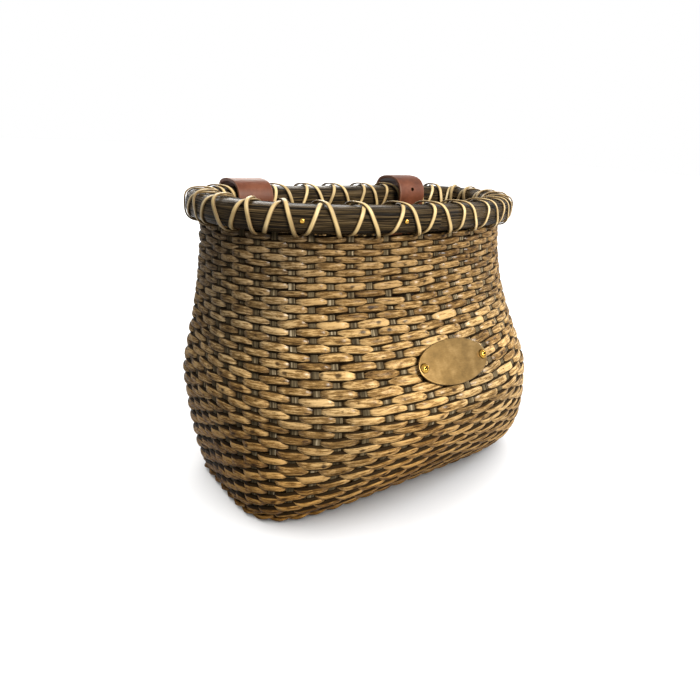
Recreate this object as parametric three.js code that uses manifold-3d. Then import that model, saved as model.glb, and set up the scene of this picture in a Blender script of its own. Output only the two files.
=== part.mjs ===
// Woven D-plan basket with a laced double rim, a bare oval plate and two buckled leather straps.
// Millimetres, +Z up. The bulging front faces -Y, the flat back with the straps faces +Y.
// The origin lies on the flat underside, on the middle plane, where the sides are widest.

import * as THREE from 'three';
import { mergeVertices } from 'three/addons/utils/BufferGeometryUtils.js';
import Module from 'manifold-3d';

// Clearance between pieces that touch
const seatGap = 0.3;

// Body: half width and reach to the front and back at the rim, the belly and the foot
const rimHeight = 200;
const bellyHeight = 81;
const rimHalfWidth = 118;
const rimFrontReach = 71.6;
const rimBackReach = 42.1;
const bellyHalfWidth = 133;
const bellyFrontReach = 119;
const bellyBackReach = 48;
const footHalfWidth = 117;
const footFrontReach = 62;
const footBackReach = 34;
const wallThickness = 4.4;

// Squareness of the plan: 2 is an ellipse, larger is closer to a rectangle
const rimFrontSquareness = 2.16;
const bellyFrontSquareness = 2.28;
const footFrontSquareness = 6.6;
const backSquareness = 4;

// Bend of the wall from belly to rim and from belly to foot
const shoulderCurve = 0.655;
const footCurve = 1.33;

// Stakes stand closer together at the two ends of the plan, by this share of their pitch
const stakeCount = 52;
const stakeCrowding = 0.15;
const stakeWidth = 4;
const stakeThickness = 2.2;

// Weave: rows of floats over every other stake, closer together towards the top by this share of their pitch
const weaverRows = 38;
const firstRowHeight = 7;
const rowCrowding = 0.176;
const floatRelief = 1.6;

// Rim: two split-pole hoops with a filler cane between them on top
const hoopHeight = 16.4;
const hoopThickness = 7.6;
const hoopSquareness = 2.8;
const fillerHeight = 2.6;

// Lashing: two flat strips wound round the rim in opposite directions
const lashWidth = 3.2;
const lashThickness = 1;
const lashSeatGap = 0.5;
const lashCrossingGap = 0.5;

// Nails in the outer hoop, at stake numbers counted from the front middle
const nailStakes = [45, 50];
const nailHeadRadius = 1.5;
const nailShankRadius = 0.7;
const nailLength = 6;

// Plate on the front with its two screws
const plateHeight = 106;
const plateWidth = 30;
const plateThickness = 1.2;
const plateStandoff = 0.9;
const screwSpacing = 52;
const plateEnd = 4;
const screwHeadRadius = 3.25;
const screwHeadHeight = 2.2;
const screwRadius = 1.5;
const washerRadius = 4;
const washerThickness = 0.8;
const nutAcrossFlats = 5.5;
const nutThickness = 2.4;
const screwEnd = 1.2;

// Straps: the pair sits a little left of the middle
const strapSpread = 70.5;
const strapShift = -5.5;
const strapWidth = 25.4;
const strapThickness = 2.4;
const strapStandoff = 2.2;
const leftArchLift = 0;
const rightArchLift = 2.2;
const barSpaceRadius = 15;
const slotDrop = 51;
const slotClearance = 1.2;
const holeRadius = 1.5;
const holePitch = 19.05;
const holeCount = 3;
const leftSpareHoles = 2;
const rightSpareHoles = 3;

// Buckle: a wire frame on the strap's fold, tilted off the wall, with a roller and a prong
const buckleHeight = 141;
const buckleTilt = THREE.MathUtils.degToRad(10);
const frameLength = 18;
const frameWireRadius = 1.5;
const frameCornerRadius = 3;
const frameSideGap = 1;
const rollerRadius = 3;
const prongRadius = 1.1;
const prongTravel = THREE.MathUtils.degToRad(30);
const foldLength = 21;
const rivetDrop = 14.5;
const rivetHeadRadius = 3.5;
const rivetHeadHeight = 1.2;
const rivetRadius = 1.5;
const keeperDrop = 41;
const keeperHeight = 8;
const keeperThickness = 1;
const freeGap = 0.6;
const tipLength = 7;

// Values worked out from the sizes above
const rimHalfDepth = wallThickness / 2 + seatGap + hoopThickness;
const rimMiddle = rimHeight - hoopHeight / 2;
const neckHeight = rimHeight - 0.75 * hoopHeight;
const lashSeat = lashSeatGap + lashThickness / 2;
const lashLift = lashThickness + lashCrossingGap;
const lashReach = lashSeatGap + lashThickness + lashLift;
const wallTop = rimHeight - hoopHeight - lashReach - seatGap;
const stakeTop = rimHeight - fillerHeight - seatGap;
const lashLoops = stakeCount / 2;
const plateLength = screwSpacing + 2 * plateEnd;
const slotHeight = buckleHeight - slotDrop;

// Facets
const planSamples = 720;
const hoopColumns = 70;
const footSteps = 4;
const shoulderSteps = 5;
const lashSteps = 12;
const roundSides = 12;
const wireSides = 6;

const wasm = await Module();
wasm.setup();

const materials = {
  rattan: new THREE.MeshStandardMaterial({ color: 0xa5834f, roughness: 0.55, metalness: 0 }),
  pole: new THREE.MeshStandardMaterial({ color: 0x57452f, roughness: 0.5, metalness: 0 }),
  cane: new THREE.MeshStandardMaterial({ color: 0xd9c083, roughness: 0.55, metalness: 0 }),
  leather: new THREE.MeshStandardMaterial({ color: 0x76432f, roughness: 0.5, metalness: 0 }),
  brass: new THREE.MeshStandardMaterial({ color: 0xb4934f, roughness: 0.35, metalness: 1 }),
};

const basket = new THREE.Group();

function add(name, geometry, material, parent = basket) {
  const mesh = new THREE.Mesh(geometry, material);
  mesh.name = name;
  parent.add(mesh);
  return mesh;
}

// Turns the faces of a closed indexed skin outwards, going by the sign of its volume.
function outward(geometry) {
  const position = geometry.attributes.position;
  const index = geometry.index.array;
  const corner = [new THREE.Vector3(), new THREE.Vector3(), new THREE.Vector3()];
  let volume = 0;
  for (let i = 0; i < index.length; i += 3) {
    corner.forEach((point, k) => point.fromBufferAttribute(position, index[i + k]));
    volume += corner[0].dot(corner[1].cross(corner[2]));
  }
  if (volume < 0) {
    for (let i = 0; i < index.length; i += 3) {
      [index[i], index[i + 1]] = [index[i + 1], index[i]];
    }
  }
  geometry.computeVertexNormals();
  return geometry;
}

// A skin through rings of equal point counts: endless joins the last ring to the first, else both ends are capped.
// A face is split along its other diagonal where crossed says so.
function loft(rings, endless, crossed = () => false) {
  const count = rings[0].length;
  const index = [];
  const spans = endless ? rings.length : rings.length - 1;
  for (let i = 0; i < spans; i++) {
    const here = i * count;
    const next = ((i + 1) % rings.length) * count;
    for (let j = 0; j < count; j++) {
      const side = (j + 1) % count;
      const [a, b, c, d] = [here + j, here + side, next + side, next + j];
      index.push(...(crossed(i, j) ? [a, b, d, b, c, d] : [a, b, c, a, c, d]));
    }
  }
  if (!endless) {
    const last = (rings.length - 1) * count;
    for (let j = 1; j < count - 1; j++) {
      index.push(0, j + 1, j, last, last + j, last + j + 1);
    }
  }
  const geometry = new THREE.BufferGeometry().setFromPoints(rings.flat());
  geometry.setIndex(index);
  return outward(geometry);
}

function toSolid(geometry) {
  const bare = geometry.clone();
  bare.deleteAttribute('normal');
  bare.deleteAttribute('uv');
  const merged = mergeVertices(bare, 1e-4);
  return new wasm.Manifold(new wasm.Mesh({
    numProp: 3,
    vertProperties: new Float32Array(merged.attributes.position.array),
    triVerts: new Uint32Array(merged.index.array),
  }));
}

function toGeometry(solid) {
  const mesh = solid.getMesh();
  const geometry = new THREE.BufferGeometry();
  geometry.setAttribute('position', new THREE.BufferAttribute(new Float32Array(mesh.vertProperties), 3));
  geometry.setIndex(new THREE.BufferAttribute(new Uint32Array(mesh.triVerts), 1));
  geometry.computeVertexNormals();
  return geometry;
}

function cut(geometry, cutters) {
  return toGeometry(cutters.reduce((solid, cutter) => solid.subtract(toSolid(cutter)), toSolid(geometry)));
}

function mix(from, to, share) {
  return from + (to - from) * share;
}

// Plan of the wall at a height: half width, reaches and squareness, blended between foot, belly and rim.
function levelAt(height) {
  const above = height >= bellyHeight;
  const rise = Math.min(1, (height - bellyHeight) / (neckHeight - bellyHeight));
  const drop = Math.min(1, (bellyHeight - height) / bellyHeight);
  const share = above
    ? 0.5 - 0.5 * Math.cos(Math.PI * rise ** shoulderCurve)
    : 1 - Math.sqrt(1 - drop ** footCurve);
  return {
    side: mix(bellyHalfWidth, above ? rimHalfWidth : footHalfWidth, share),
    front: mix(bellyFrontReach, above ? rimFrontReach : footFrontReach, share),
    back: mix(bellyBackReach, above ? rimBackReach : footBackReach, share),
    square: mix(bellyFrontSquareness, above ? rimFrontSquareness : footFrontSquareness, share),
  };
}

function signedPower(value, power) {
  return Math.sign(value) * Math.abs(value) ** power;
}

const plans = new Map();

// The plan outline at a height as points from the front middle towards +X, with the length run at each point.
function planAt(height) {
  if (!plans.has(height)) {
    const level = levelAt(height);
    const points = [];
    for (let i = 0; i <= planSamples; i++) {
      const angle = (i / planSamples) * 2 * Math.PI - Math.PI / 2;
      const atFront = Math.sin(angle) < 0;
      const power = 2 / (atFront ? level.square : backSquareness);
      const reach = atFront ? level.front : level.back;
      points.push(new THREE.Vector2(
        level.side * signedPower(Math.cos(angle), power),
        reach * signedPower(Math.sin(angle), power),
      ));
    }
    const lengths = [0];
    for (let i = 1; i < points.length; i++) {
      lengths.push(lengths[i - 1] + points[i].distanceTo(points[i - 1]));
    }
    plans.set(height, { points, lengths });
  }
  return plans.get(height);
}

// Point of the wall's outer face at a height and a share of the way round.
function pointAt(height, share) {
  const { points, lengths } = planAt(height);
  const target = (share - Math.floor(share)) * lengths[planSamples];
  let low = 0;
  let high = planSamples;
  while (high - low > 1) {
    const middle = (low + high) >> 1;
    if (lengths[middle] <= target) low = middle;
    else high = middle;
  }
  const part = (target - lengths[low]) / (lengths[high] - lengths[low]);
  return points[low].clone().lerp(points[high], part);
}

function normalAt(height, share) {
  const step = 1 / planSamples;
  const along = pointAt(height, share + step).sub(pointAt(height, share - step)).normalize();
  return new THREE.Vector2(along.y, -along.x);
}

// Share of the way round at a stake number, whole or in between.
function stakeShare(number) {
  const turn = number / stakeCount;
  return turn + stakeCrowding / (4 * Math.PI) * Math.sin(4 * Math.PI * turn);
}

// Point of the rim, from the middle of its section: outwards and upwards.
function rimPoint(share, out, rise) {
  const normal = normalAt(rimHeight, share);
  const point = pointAt(rimHeight, share).addScaledVector(normal, out - wallThickness / 2);
  return new THREE.Vector3(point.x, point.y, rimMiddle + rise);
}

// The rounded outline round both hoops, grown by a distance, as outwards and upwards from its middle.
function rimSection(angle, grow) {
  return new THREE.Vector2(
    (rimHalfDepth + grow) * signedPower(Math.cos(angle), 2 / hoopSquareness),
    (hoopHeight / 2 + grow) * signedPower(Math.sin(angle), 2 / hoopSquareness),
  );
}

// Point of the wall set back from its outer face, square to it.
function wallPoint(height, share, back) {
  const step = 0.5;
  const point = pointAt(height, share);
  const out = normalAt(height, share);
  const rise = pointAt(height + step, share).sub(pointAt(Math.max(height - step, 0), share));
  const normal = new THREE.Vector3(out.x * 2 * step, out.y * 2 * step, -rise.dot(out)).normalize();
  return new THREE.Vector3(point.x, point.y, height).addScaledVector(normal, -back);
}

// Height of a row of floats.
function rowHeight(row) {
  const climb = row / weaverRows;
  return mix(firstRowHeight, wallTop, climb * (1 + rowCrowding * (1 - climb)));
}

// Wall: its outer skin has a ring for each row, which stands proud where a float covers a stake and falls back to
// the stake in between. The inner skin is plain.
function wallRings() {
  const columns = Array.from({ length: stakeCount }, (_, stake) => stakeShare(stake + 0.5));
  const plain = (height) => columns.map((share) => wallPoint(height, share, 0));
  const foot = [0, firstRowHeight / 4].map(plain);
  const rows = Array.from({ length: weaverRows }, (_, row) => columns.map((share, stake) => (
    wallPoint(rowHeight(row), share, floatRelief * ((row + stake) % 2))
  )));
  const outer = [...foot, ...rows, plain(wallTop)];
  const heights = [];
  for (let i = 1; i < footSteps; i++) {
    const bend = (Math.PI / 2) * (1 - i / footSteps);
    heights.push(bellyHeight * (1 - Math.sin(bend) ** (2 / footCurve)));
  }
  for (let i = 0; i <= shoulderSteps; i++) {
    heights.push(mix(bellyHeight, wallTop, i / shoulderSteps));
  }
  const inner = heights.map((height) => columns.map((share) => wallPoint(height, share, wallThickness)));
  const floor = foot[0].map((point) => point.clone().setZ(wallThickness));
  return { outer, inner: [floor, ...inner] };
}

function stakeTops() {
  const root = 1.5;
  return Array.from({ length: stakeCount }, (_, stake) => {
    const share = stakeShare(stake + 0.5);
    const normal = normalAt(rimHeight, share);
    const post = new THREE.BoxGeometry(stakeWidth, stakeThickness, stakeTop - wallTop + root);
    post.rotateZ(Math.atan2(normal.y, normal.x) - Math.PI / 2);
    const foot = rimPoint(share, 0, 0);
    return post.translate(foot.x, foot.y, (stakeTop + wallTop - root) / 2);
  });
}

// Hoops: a D section, flat towards the stakes, carried round the plan.
function hoop(side) {
  const flat = wallThickness / 2 + seatGap;
  const start = Math.acos((flat / rimHalfDepth) ** (hoopSquareness / 2));
  const stops = Math.PI / 6;
  const angles = [-start, -2 * stops, -stops, 0, stops, 2 * stops, start];
  const rings = Array.from({ length: hoopColumns }, (_, column) => angles.map((angle) => {
    const at = rimSection(angle, 0);
    return rimPoint(column / hoopColumns, side * at.x, at.y);
  }));
  return loft(rings, true);
}

function filler() {
  const half = wallThickness / 2;
  const crown = hoopHeight / 2;
  const section = [[-half, -fillerHeight], [half, -fillerHeight], [half, -0.35 * fillerHeight], [0, 0], [-half, -0.35 * fillerHeight]];
  const rings = Array.from({ length: hoopColumns }, (_, column) => section.map(([out, rise]) => (
    rimPoint(column / hoopColumns, out, crown + rise)
  )));
  return loft(rings, true);
}

// Lashing: one flat strip that climbs the outer face of the rim, crosses its top and goes down inside, and passes
// under the hoops between two stakes. The second strip runs the other way and lies over the first.
function lashing(direction) {
  const over = direction < 0;
  const path = [];
  const faces = [];
  const tuck = 1;
  for (let step = tuck; step <= lashLoops * lashSteps - tuck; step++) {
    const turn = step / lashSteps;
    const angle = -Math.PI / 2 + direction * 2 * Math.PI * turn;
    const outside = Math.max(0, Math.cos(angle));
    const lift = over ? lashLift * (1 - outside ** 4) : 0;
    const share = stakeShare(1 + 2 * turn);
    const at = rimSection(angle, lashSeat + lift);
    const ahead = rimSection(angle + 0.01, lashSeat).sub(rimSection(angle - 0.01, lashSeat)).normalize();
    const normal = normalAt(rimHeight, share);
    path.push(rimPoint(share, at.x, at.y));
    faces.push(new THREE.Vector3(normal.x * ahead.y, normal.y * ahead.y, -ahead.x));
  }
  const rings = path.map((point, i) => {
    const before = path[Math.max(i - 1, 0)];
    const after = path[Math.min(i + 1, path.length - 1)];
    const face = faces[i];
    const across = after.clone().sub(before).cross(face).setLength(lashWidth / 2);
    const thick = face.clone().setLength(lashThickness / 2);
    return [[1, 1], [-1, 1], [-1, -1], [1, -1]].map(([a, b]) => (
      point.clone().addScaledVector(across, a).addScaledVector(thick, b)
    ));
  });
  let least = Infinity;
  rings.forEach((ring, i) => rings.slice(i + lashSteps / 2).forEach((other) => {
    ring.forEach((a) => other.forEach((b) => {
      least = Math.min(least, a.distanceTo(b));
    }));
  }));
  console.log(`lashing ${direction}: ${lashLoops} loops, least gap to itself ${least.toFixed(2)} mm`);
  return loft(rings, false);
}

// Nails: domed head on the outer hoop, shank in a blind hole.
function nailPlace(stake) {
  const share = stakeShare(stake);
  const normal = normalAt(rimHeight, share);
  return new THREE.Matrix4().makeBasis(
    new THREE.Vector3(normal.y, -normal.x, 0),
    new THREE.Vector3(normal.x, normal.y, 0),
    new THREE.Vector3(0, 0, 1),
  ).setPosition(rimPoint(share, rimHalfDepth, 0));
}

function nail() {
  const base = seatGap;
  const dome = Array.from({ length: 3 }, (_, i) => {
    const angle = (i / 2) * Math.PI / 2;
    return new THREE.Vector2(nailHeadRadius * Math.cos(angle), base + 0.6 * nailHeadRadius * Math.sin(angle));
  });
  dome[2].x = 0;
  const profile = [new THREE.Vector2(0, -nailLength), new THREE.Vector2(nailShankRadius, -nailLength),
    new THREE.Vector2(nailShankRadius, base), ...dome];
  return new THREE.LatheGeometry(profile, roundSides);
}

function nailHole() {
  const depth = nailLength + seatGap;
  return new THREE.CylinderGeometry(nailShankRadius + seatGap, nailShankRadius + seatGap, 2 * depth, roundSides);
}

// Plate: flat oval on the front, in its own frame: x along the plate, y up the wall, z out of it.
const plateY = -levelAt(plateHeight).front;
const plateLean = Math.atan2(levelAt(plateHeight - 1).front - levelAt(plateHeight + 1).front, 2);
const plateGroup = new THREE.Group();
plateGroup.position.set(0, plateY, plateHeight);
plateGroup.rotation.x = Math.PI / 2 - plateLean;
plateGroup.updateMatrixWorld(true);

// How far the wall falls back behind the plate's middle at a distance to the side of it.
function wallFall(aside) {
  const level = levelAt(plateHeight);
  const y = -level.front * (1 - (aside / level.side) ** level.square) ** (1 / level.square);
  return (y - plateY) * Math.cos(plateLean);
}

function ring(outerShape, holeR, thickness) {
  const hole = new THREE.Path();
  hole.absarc(0, 0, holeR, 0, 2 * Math.PI, true);
  outerShape.holes.push(hole);
  return new THREE.ExtrudeGeometry(outerShape, { depth: thickness, bevelEnabled: false, curveSegments: roundSides });
}

function plate() {
  const shape = new THREE.Shape();
  shape.absellipse(0, 0, plateLength / 2, plateWidth / 2, 0, 2 * Math.PI);
  for (const side of [-1, 1]) {
    const hole = new THREE.Path();
    hole.absarc(side * screwSpacing / 2, 0, screwRadius + seatGap, 0, 2 * Math.PI, true);
    shape.holes.push(hole);
  }
  const options = { depth: plateThickness, bevelEnabled: false, curveSegments: 1.5 * roundSides };
  return new THREE.ExtrudeGeometry(shape, options).translate(0, 0, plateStandoff);
}

const plateFront = plateStandoff + plateThickness;
const wallBehind = -wallFall(screwSpacing / 2) - wallThickness;
const washerFace = wallBehind - 3 * seatGap;
const nutFace = washerFace - washerThickness - seatGap;
const screwTip = nutFace - nutThickness - screwEnd;

function screw() {
  const under = plateFront + seatGap;
  const profile = [new THREE.Vector2(0, screwTip), new THREE.Vector2(screwRadius, screwTip), new THREE.Vector2(screwRadius, under)];
  const domeSteps = 3;
  for (let i = 0; i < domeSteps; i++) {
    const angle = (i / domeSteps) * Math.PI / 2;
    profile.push(new THREE.Vector2(screwHeadRadius * Math.cos(angle), under + screwHeadHeight * Math.sin(angle)));
  }
  profile.push(new THREE.Vector2(0, under + screwHeadHeight));
  return new THREE.LatheGeometry(profile, roundSides).rotateX(Math.PI / 2);
}

function washer() {
  const shape = new THREE.Shape();
  shape.absarc(0, 0, washerRadius, 0, 2 * Math.PI);
  return ring(shape, screwRadius + seatGap, washerThickness).translate(0, 0, washerFace - washerThickness);
}

function nut() {
  const reach = nutAcrossFlats / Math.sqrt(3);
  const corners = Array.from({ length: 6 }, (_, i) => (
    new THREE.Vector2(reach, 0).rotateAround(new THREE.Vector2(), (i * Math.PI) / 3)
  ));
  return ring(new THREE.Shape(corners), screwRadius + seatGap, nutThickness).translate(0, 0, nutFace - nutThickness);
}

function screwHole(side) {
  const length = 4 * wallThickness;
  const hole = new THREE.CylinderGeometry(screwRadius + 2 * seatGap, screwRadius + 2 * seatGap, length, roundSides);
  hole.rotateX(Math.PI / 2).translate(side * screwSpacing / 2, 0, wallBehind + wallThickness / 2);
  return hole.applyMatrix4(plateGroup.matrixWorld);
}

// Faces of the back wall at a distance from the middle plane.
function backOuter(height, aside) {
  const level = levelAt(height);
  return level.back * (1 - Math.abs(aside / level.side) ** backSquareness) ** (1 / backSquareness);
}

function backInner(height, aside) {
  return backOuter(height, aside) - wallThickness;
}

// Everything on one strap is drawn in the strap's own plane: y towards the back, z up.
function strapLayout(aside, archLift, spareHoles) {
  const half = strapThickness / 2;
  const edge = Math.abs(aside) + strapWidth / 2;
  const layer = (height) => backInner(height, edge) - strapStandoff - half;
  const foldRadius = frameWireRadius + 2 * seatGap + half;
  const heel = new THREE.Vector2(layer(buckleHeight) - foldRadius, buckleHeight);
  const along = new THREE.Vector2(-Math.sin(buckleTilt), Math.cos(buckleTilt));
  const front = new THREE.Vector2(-Math.cos(buckleTilt), -Math.sin(buckleTilt));
  const onFrame = (p, q) => heel.clone().addScaledVector(along, p).addScaledVector(front, q);
  const prongRing = frameWireRadius + seatGap + prongRadius;
  const prongRest = rollerRadius + seatGap + prongRadius;
  return { aside, edge, archLift, spareHoles, half, layer, foldRadius, heel, onFrame, prongRing, prongRest };
}

// Route of the strap's middle line: from the end of the fold round the heel bar, down the wall, out through the
// slot, round the bar space, over the rim, behind the roller, over the fold and down to the tip.
function strapRoute(layout) {
  const { aside, edge, archLift, half, layer, foldRadius, heel, onFrame } = layout;
  const points = [];
  const go = (y, z) => points.push(new THREE.Vector3(0, y, z));
  const foldEnd = buckleHeight - foldLength;
  const doubled = strapThickness + 2 * seatGap;
  const foldTop = buckleHeight - rivetDrop + rivetHeadRadius + seatGap;
  go(layer(foldEnd) - doubled, foldEnd);
  go(layer(buckleHeight - rivetDrop) - doubled, buckleHeight - rivetDrop);
  go(layer(foldTop) - doubled, foldTop);
  go(heel.x - 0.8 * foldRadius, buckleHeight - 0.9 * foldRadius);
  for (const angle of [180, 135, 90, 45, 0]) {
    const turn = THREE.MathUtils.degToRad(angle);
    go(heel.x + foldRadius * Math.cos(turn), heel.y + foldRadius * Math.sin(turn));
  }
  go(layer(buckleHeight - rivetDrop), buckleHeight - rivetDrop);
  const slotMiddle = backOuter(slotHeight, aside) - wallThickness / 2;
  const turnRadius = slotMiddle - layer(slotHeight);
  go(layer(mix(slotHeight, foldEnd, 0.5)), mix(slotHeight, foldEnd, 0.5));
  for (const angle of [180, 225, 270, 315, 360]) {
    const turn = THREE.MathUtils.degToRad(angle);
    go(slotMiddle + turnRadius * Math.cos(turn), slotHeight + turnRadius * Math.sin(turn));
  }
  const barHeight = rimHeight - hoopHeight - lashReach - barSpaceRadius - strapThickness;
  const barY = backOuter(barHeight, aside) + strapStandoff + barSpaceRadius;
  const barTurn = barSpaceRadius + seatGap + half;
  for (const angle of [-35, 0, 35]) {
    const turn = THREE.MathUtils.degToRad(angle);
    go(barY + barTurn * Math.cos(turn), barHeight + barTurn * Math.sin(turn));
  }
  const rimOutside = backOuter(rimHeight, edge - strapWidth) - wallThickness / 2;
  const rimInside = backOuter(rimHeight, edge + rimHalfDepth / 2) - wallThickness / 2;
  const clear = lashReach + 2 * seatGap + half;
  for (const angle of [25, 50, 75, 100, 125, 150, 180]) {
    const turn = THREE.MathUtils.degToRad(angle);
    const at = rimSection(turn, clear);
    const rimY = mix(rimOutside, rimInside, 0.5 - 0.5 * Math.cos(turn));
    go(rimY + at.x, rimMiddle + at.y + archLift * Math.max(0, Math.sin(turn)));
  }
  const behindRoller = onFrame(frameLength, -rollerRadius - 2.5 * seatGap - half);
  go(behindRoller.x, behindRoller.y);
  const overFold = foldRadius + strapThickness + 2 * seatGap;
  for (const angle of [40, 70, 100]) {
    const turn = THREE.MathUtils.degToRad(angle);
    const at = onFrame(overFold * Math.cos(turn), overFold * Math.sin(turn));
    go(at.x, at.y);
  }
  const rivetFace = layer(buckleHeight - rivetDrop) - doubled - half - seatGap - rivetHeadHeight;
  go(rivetFace - 2 * seatGap - half, buckleHeight - rivetDrop + rivetHeadRadius);
  go(rivetFace - 2 * seatGap - half, buckleHeight - rivetDrop - rivetHeadRadius);
  const keeperBottom = buckleHeight - keeperDrop;
  const keeperTop = keeperBottom + keeperHeight;
  const freeRun = strapThickness + freeGap;
  go(layer(keeperTop + keeperHeight / 2) - freeRun - seatGap, keeperTop + keeperHeight / 2);
  go(layer(keeperTop) - freeRun, keeperTop);
  go(layer(keeperBottom) - freeRun, keeperBottom);
  go(layer(keeperBottom - tipLength) - freeRun - seatGap, keeperBottom - tipLength);
  return new THREE.CatmullRomCurve3(points, false, 'centripetal');
}

// Height share along the route where the strap's run over the fold meets the prong's line.
function prongCrossing(layout, route) {
  const slope = (layout.prongRest - layout.prongRing) / frameLength;
  const steps = 800;
  for (let i = Math.round(steps / 2); i < steps; i++) {
    const at = route.getPointAt(i / steps);
    const local = new THREE.Vector2(at.y, at.z).sub(layout.heel);
    const p = local.dot(layout.onFrame(1, 0).sub(layout.heel));
    const q = local.dot(layout.onFrame(0, 1).sub(layout.heel));
    if (p < frameLength && q > layout.prongRing + slope * p) return i / steps;
  }
  throw new Error('the strap never meets the prong');
}

// A punch square to the strap at a share of its route, drawn out along it by a length.
function punch(route, share, radius, length) {
  const at = route.getPointAt(share);
  const tangent = route.getTangentAt(share);
  const shape = new THREE.Shape();
  shape.absarc(0, length / 2, radius, 0, Math.PI);
  shape.absarc(0, -length / 2, radius, Math.PI, 2 * Math.PI);
  const depth = 2.2 * strapThickness;
  const tool = new THREE.ExtrudeGeometry(shape, { depth, bevelEnabled: false, curveSegments: roundSides / 2 });
  const across = new THREE.Vector3(1, 0, 0);
  const basis = new THREE.Matrix4().makeBasis(across, tangent, across.clone().cross(tangent));
  return tool.translate(0, 0, -depth / 2).applyMatrix4(basis.setPosition(at));
}

function strap(layout, route) {
  const stepsPerPoint = 2;
  const share = Array.from({ length: (route.points.length - 1) * stepsPerPoint + 1 }, (_, i) => (
    i / ((route.points.length - 1) * stepsPerPoint)
  ));
  const sides = [1, -1].map((side) => share.map((t) => {
    const at = route.getPoint(t);
    const tangent = route.getTangent(t);
    return new THREE.Vector2(at.y - side * layout.half * tangent.z, at.z + side * layout.half * tangent.y);
  }));
  const shape = new THREE.Shape([...sides[0], ...sides[1].reverse()]);
  const band = new THREE.ExtrudeGeometry(shape, { depth: strapWidth, bevelEnabled: false });
  band.translate(0, 0, -strapWidth / 2);
  band.applyMatrix4(new THREE.Matrix4().makeBasis(
    new THREE.Vector3(0, 1, 0),
    new THREE.Vector3(0, 0, 1),
    new THREE.Vector3(1, 0, 0),
  ));
  const crossing = prongCrossing(layout, route);
  const prongSlot = 2 * prongRadius + 2 * seatGap;
  const ringReach = layout.prongRing + prongRadius + 2 * seatGap;
  const foldReach = layout.foldRadius + strapThickness;
  const foldSlot = new THREE.BoxGeometry(prongSlot, ringReach + foldReach, ringReach + foldReach);
  foldSlot.translate(0, layout.heel.x + (foldReach - ringReach) / 2, layout.heel.y + (foldReach - ringReach) / 2);
  const travel = (2 * prongRadius + strapThickness) * 1.6 + frameLength * Math.sin(prongTravel) * 0.2;
  const length = route.getLength();
  const holes = [];
  for (let n = -layout.spareHoles; n <= holeCount - layout.spareHoles; n++) {
    if (n !== 0) holes.push(crossing + (n * holePitch) / length);
  }
  return cut(band, [
    foldSlot,
    punch(route, crossing, prongRadius + seatGap, travel),
    ...holes.map((at) => punch(route, at, holeRadius, 0)),
    rivetHole(layout),
  ]);
}

// Sets a piece drawn round the strap's inner layer square to that layer at a height.
function onLayer(layout, height, geometry) {
  const lean = Math.atan2(layout.layer(height - 1) - layout.layer(height + 1), 2);
  return geometry.rotateX(lean).translate(0, layout.layer(height), height);
}

// Rivet through the fold: a shank with a domed head and a flat foot.
function rivetHole(layout) {
  const length = 3 * strapThickness;
  const hole = new THREE.CylinderGeometry(rivetRadius + seatGap, rivetRadius + seatGap, length, roundSides);
  return onLayer(layout, buckleHeight - rivetDrop, hole.translate(0, -layout.half, 0));
}

function rivet(layout) {
  const foot = layout.half + seatGap;
  const footThickness = strapStandoff - 4 * seatGap;
  const head = -layout.half - strapThickness - 3 * seatGap;
  const profile = [
    new THREE.Vector2(0, foot + footThickness),
    new THREE.Vector2(rivetHeadRadius, foot + footThickness),
    new THREE.Vector2(rivetHeadRadius, foot),
    new THREE.Vector2(rivetRadius, foot),
    new THREE.Vector2(rivetRadius, head),
    new THREE.Vector2(rivetHeadRadius, head),
    new THREE.Vector2(0.7 * rivetHeadRadius, head - 0.7 * rivetHeadHeight),
    new THREE.Vector2(0, head - rivetHeadHeight),
  ];
  return onLayer(layout, buckleHeight - rivetDrop, new THREE.LatheGeometry(profile.reverse(), roundSides));
}

// A round wire along points, with the plane of the points given by its normal.
function wire(points, normal, radius, endless) {
  const rings = points.map((point, i) => {
    const last = points.length - 1;
    const before = points[i > 0 ? i - 1 : (endless ? last : 0)];
    const after = points[i < last ? i + 1 : (endless ? 0 : last)];
    const aside = after.clone().sub(before).cross(normal).normalize();
    return Array.from({ length: wireSides }, (_, side) => {
      const angle = (side / wireSides) * 2 * Math.PI;
      return point.clone().addScaledVector(aside, radius * Math.cos(angle)).addScaledVector(normal, radius * Math.sin(angle));
    });
  });
  return loft(rings, endless);
}

function frameHalfWidth() {
  return strapWidth / 2 + frameSideGap + frameWireRadius;
}

function buckleFrame(layout) {
  const across = frameHalfWidth();
  const corners = [[-1, 0, 180], [1, 0, 270], [1, 1, 0], [-1, 1, 90]];
  const points = corners.flatMap(([side, far, start]) => [0, 45, 90].map((turn) => {
    const angle = THREE.MathUtils.degToRad(start + turn);
    const x = side * (across - frameCornerRadius) + frameCornerRadius * Math.cos(angle);
    const inset = far ? frameLength - frameCornerRadius : frameCornerRadius;
    const at = layout.onFrame(inset + frameCornerRadius * Math.sin(angle), 0);
    return new THREE.Vector3(x, at.x, at.y);
  }));
  const out = layout.onFrame(0, 1).sub(layout.heel);
  return wire(points, new THREE.Vector3(0, out.x, out.y), frameWireRadius, true);
}

function buckleRoller(layout) {
  const half = frameHalfWidth() - frameCornerRadius - seatGap;
  const bore = frameWireRadius + seatGap;
  const profile = [[bore, -half], [rollerRadius, -half], [rollerRadius, half], [bore, half], [bore, -half]];
  const tube = new THREE.LatheGeometry(profile.map(([r, x]) => new THREE.Vector2(r, x)), roundSides);
  const at = layout.onFrame(frameLength, 0);
  return tube.rotateZ(Math.PI / 2).translate(0, at.x, at.y);
}

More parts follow.
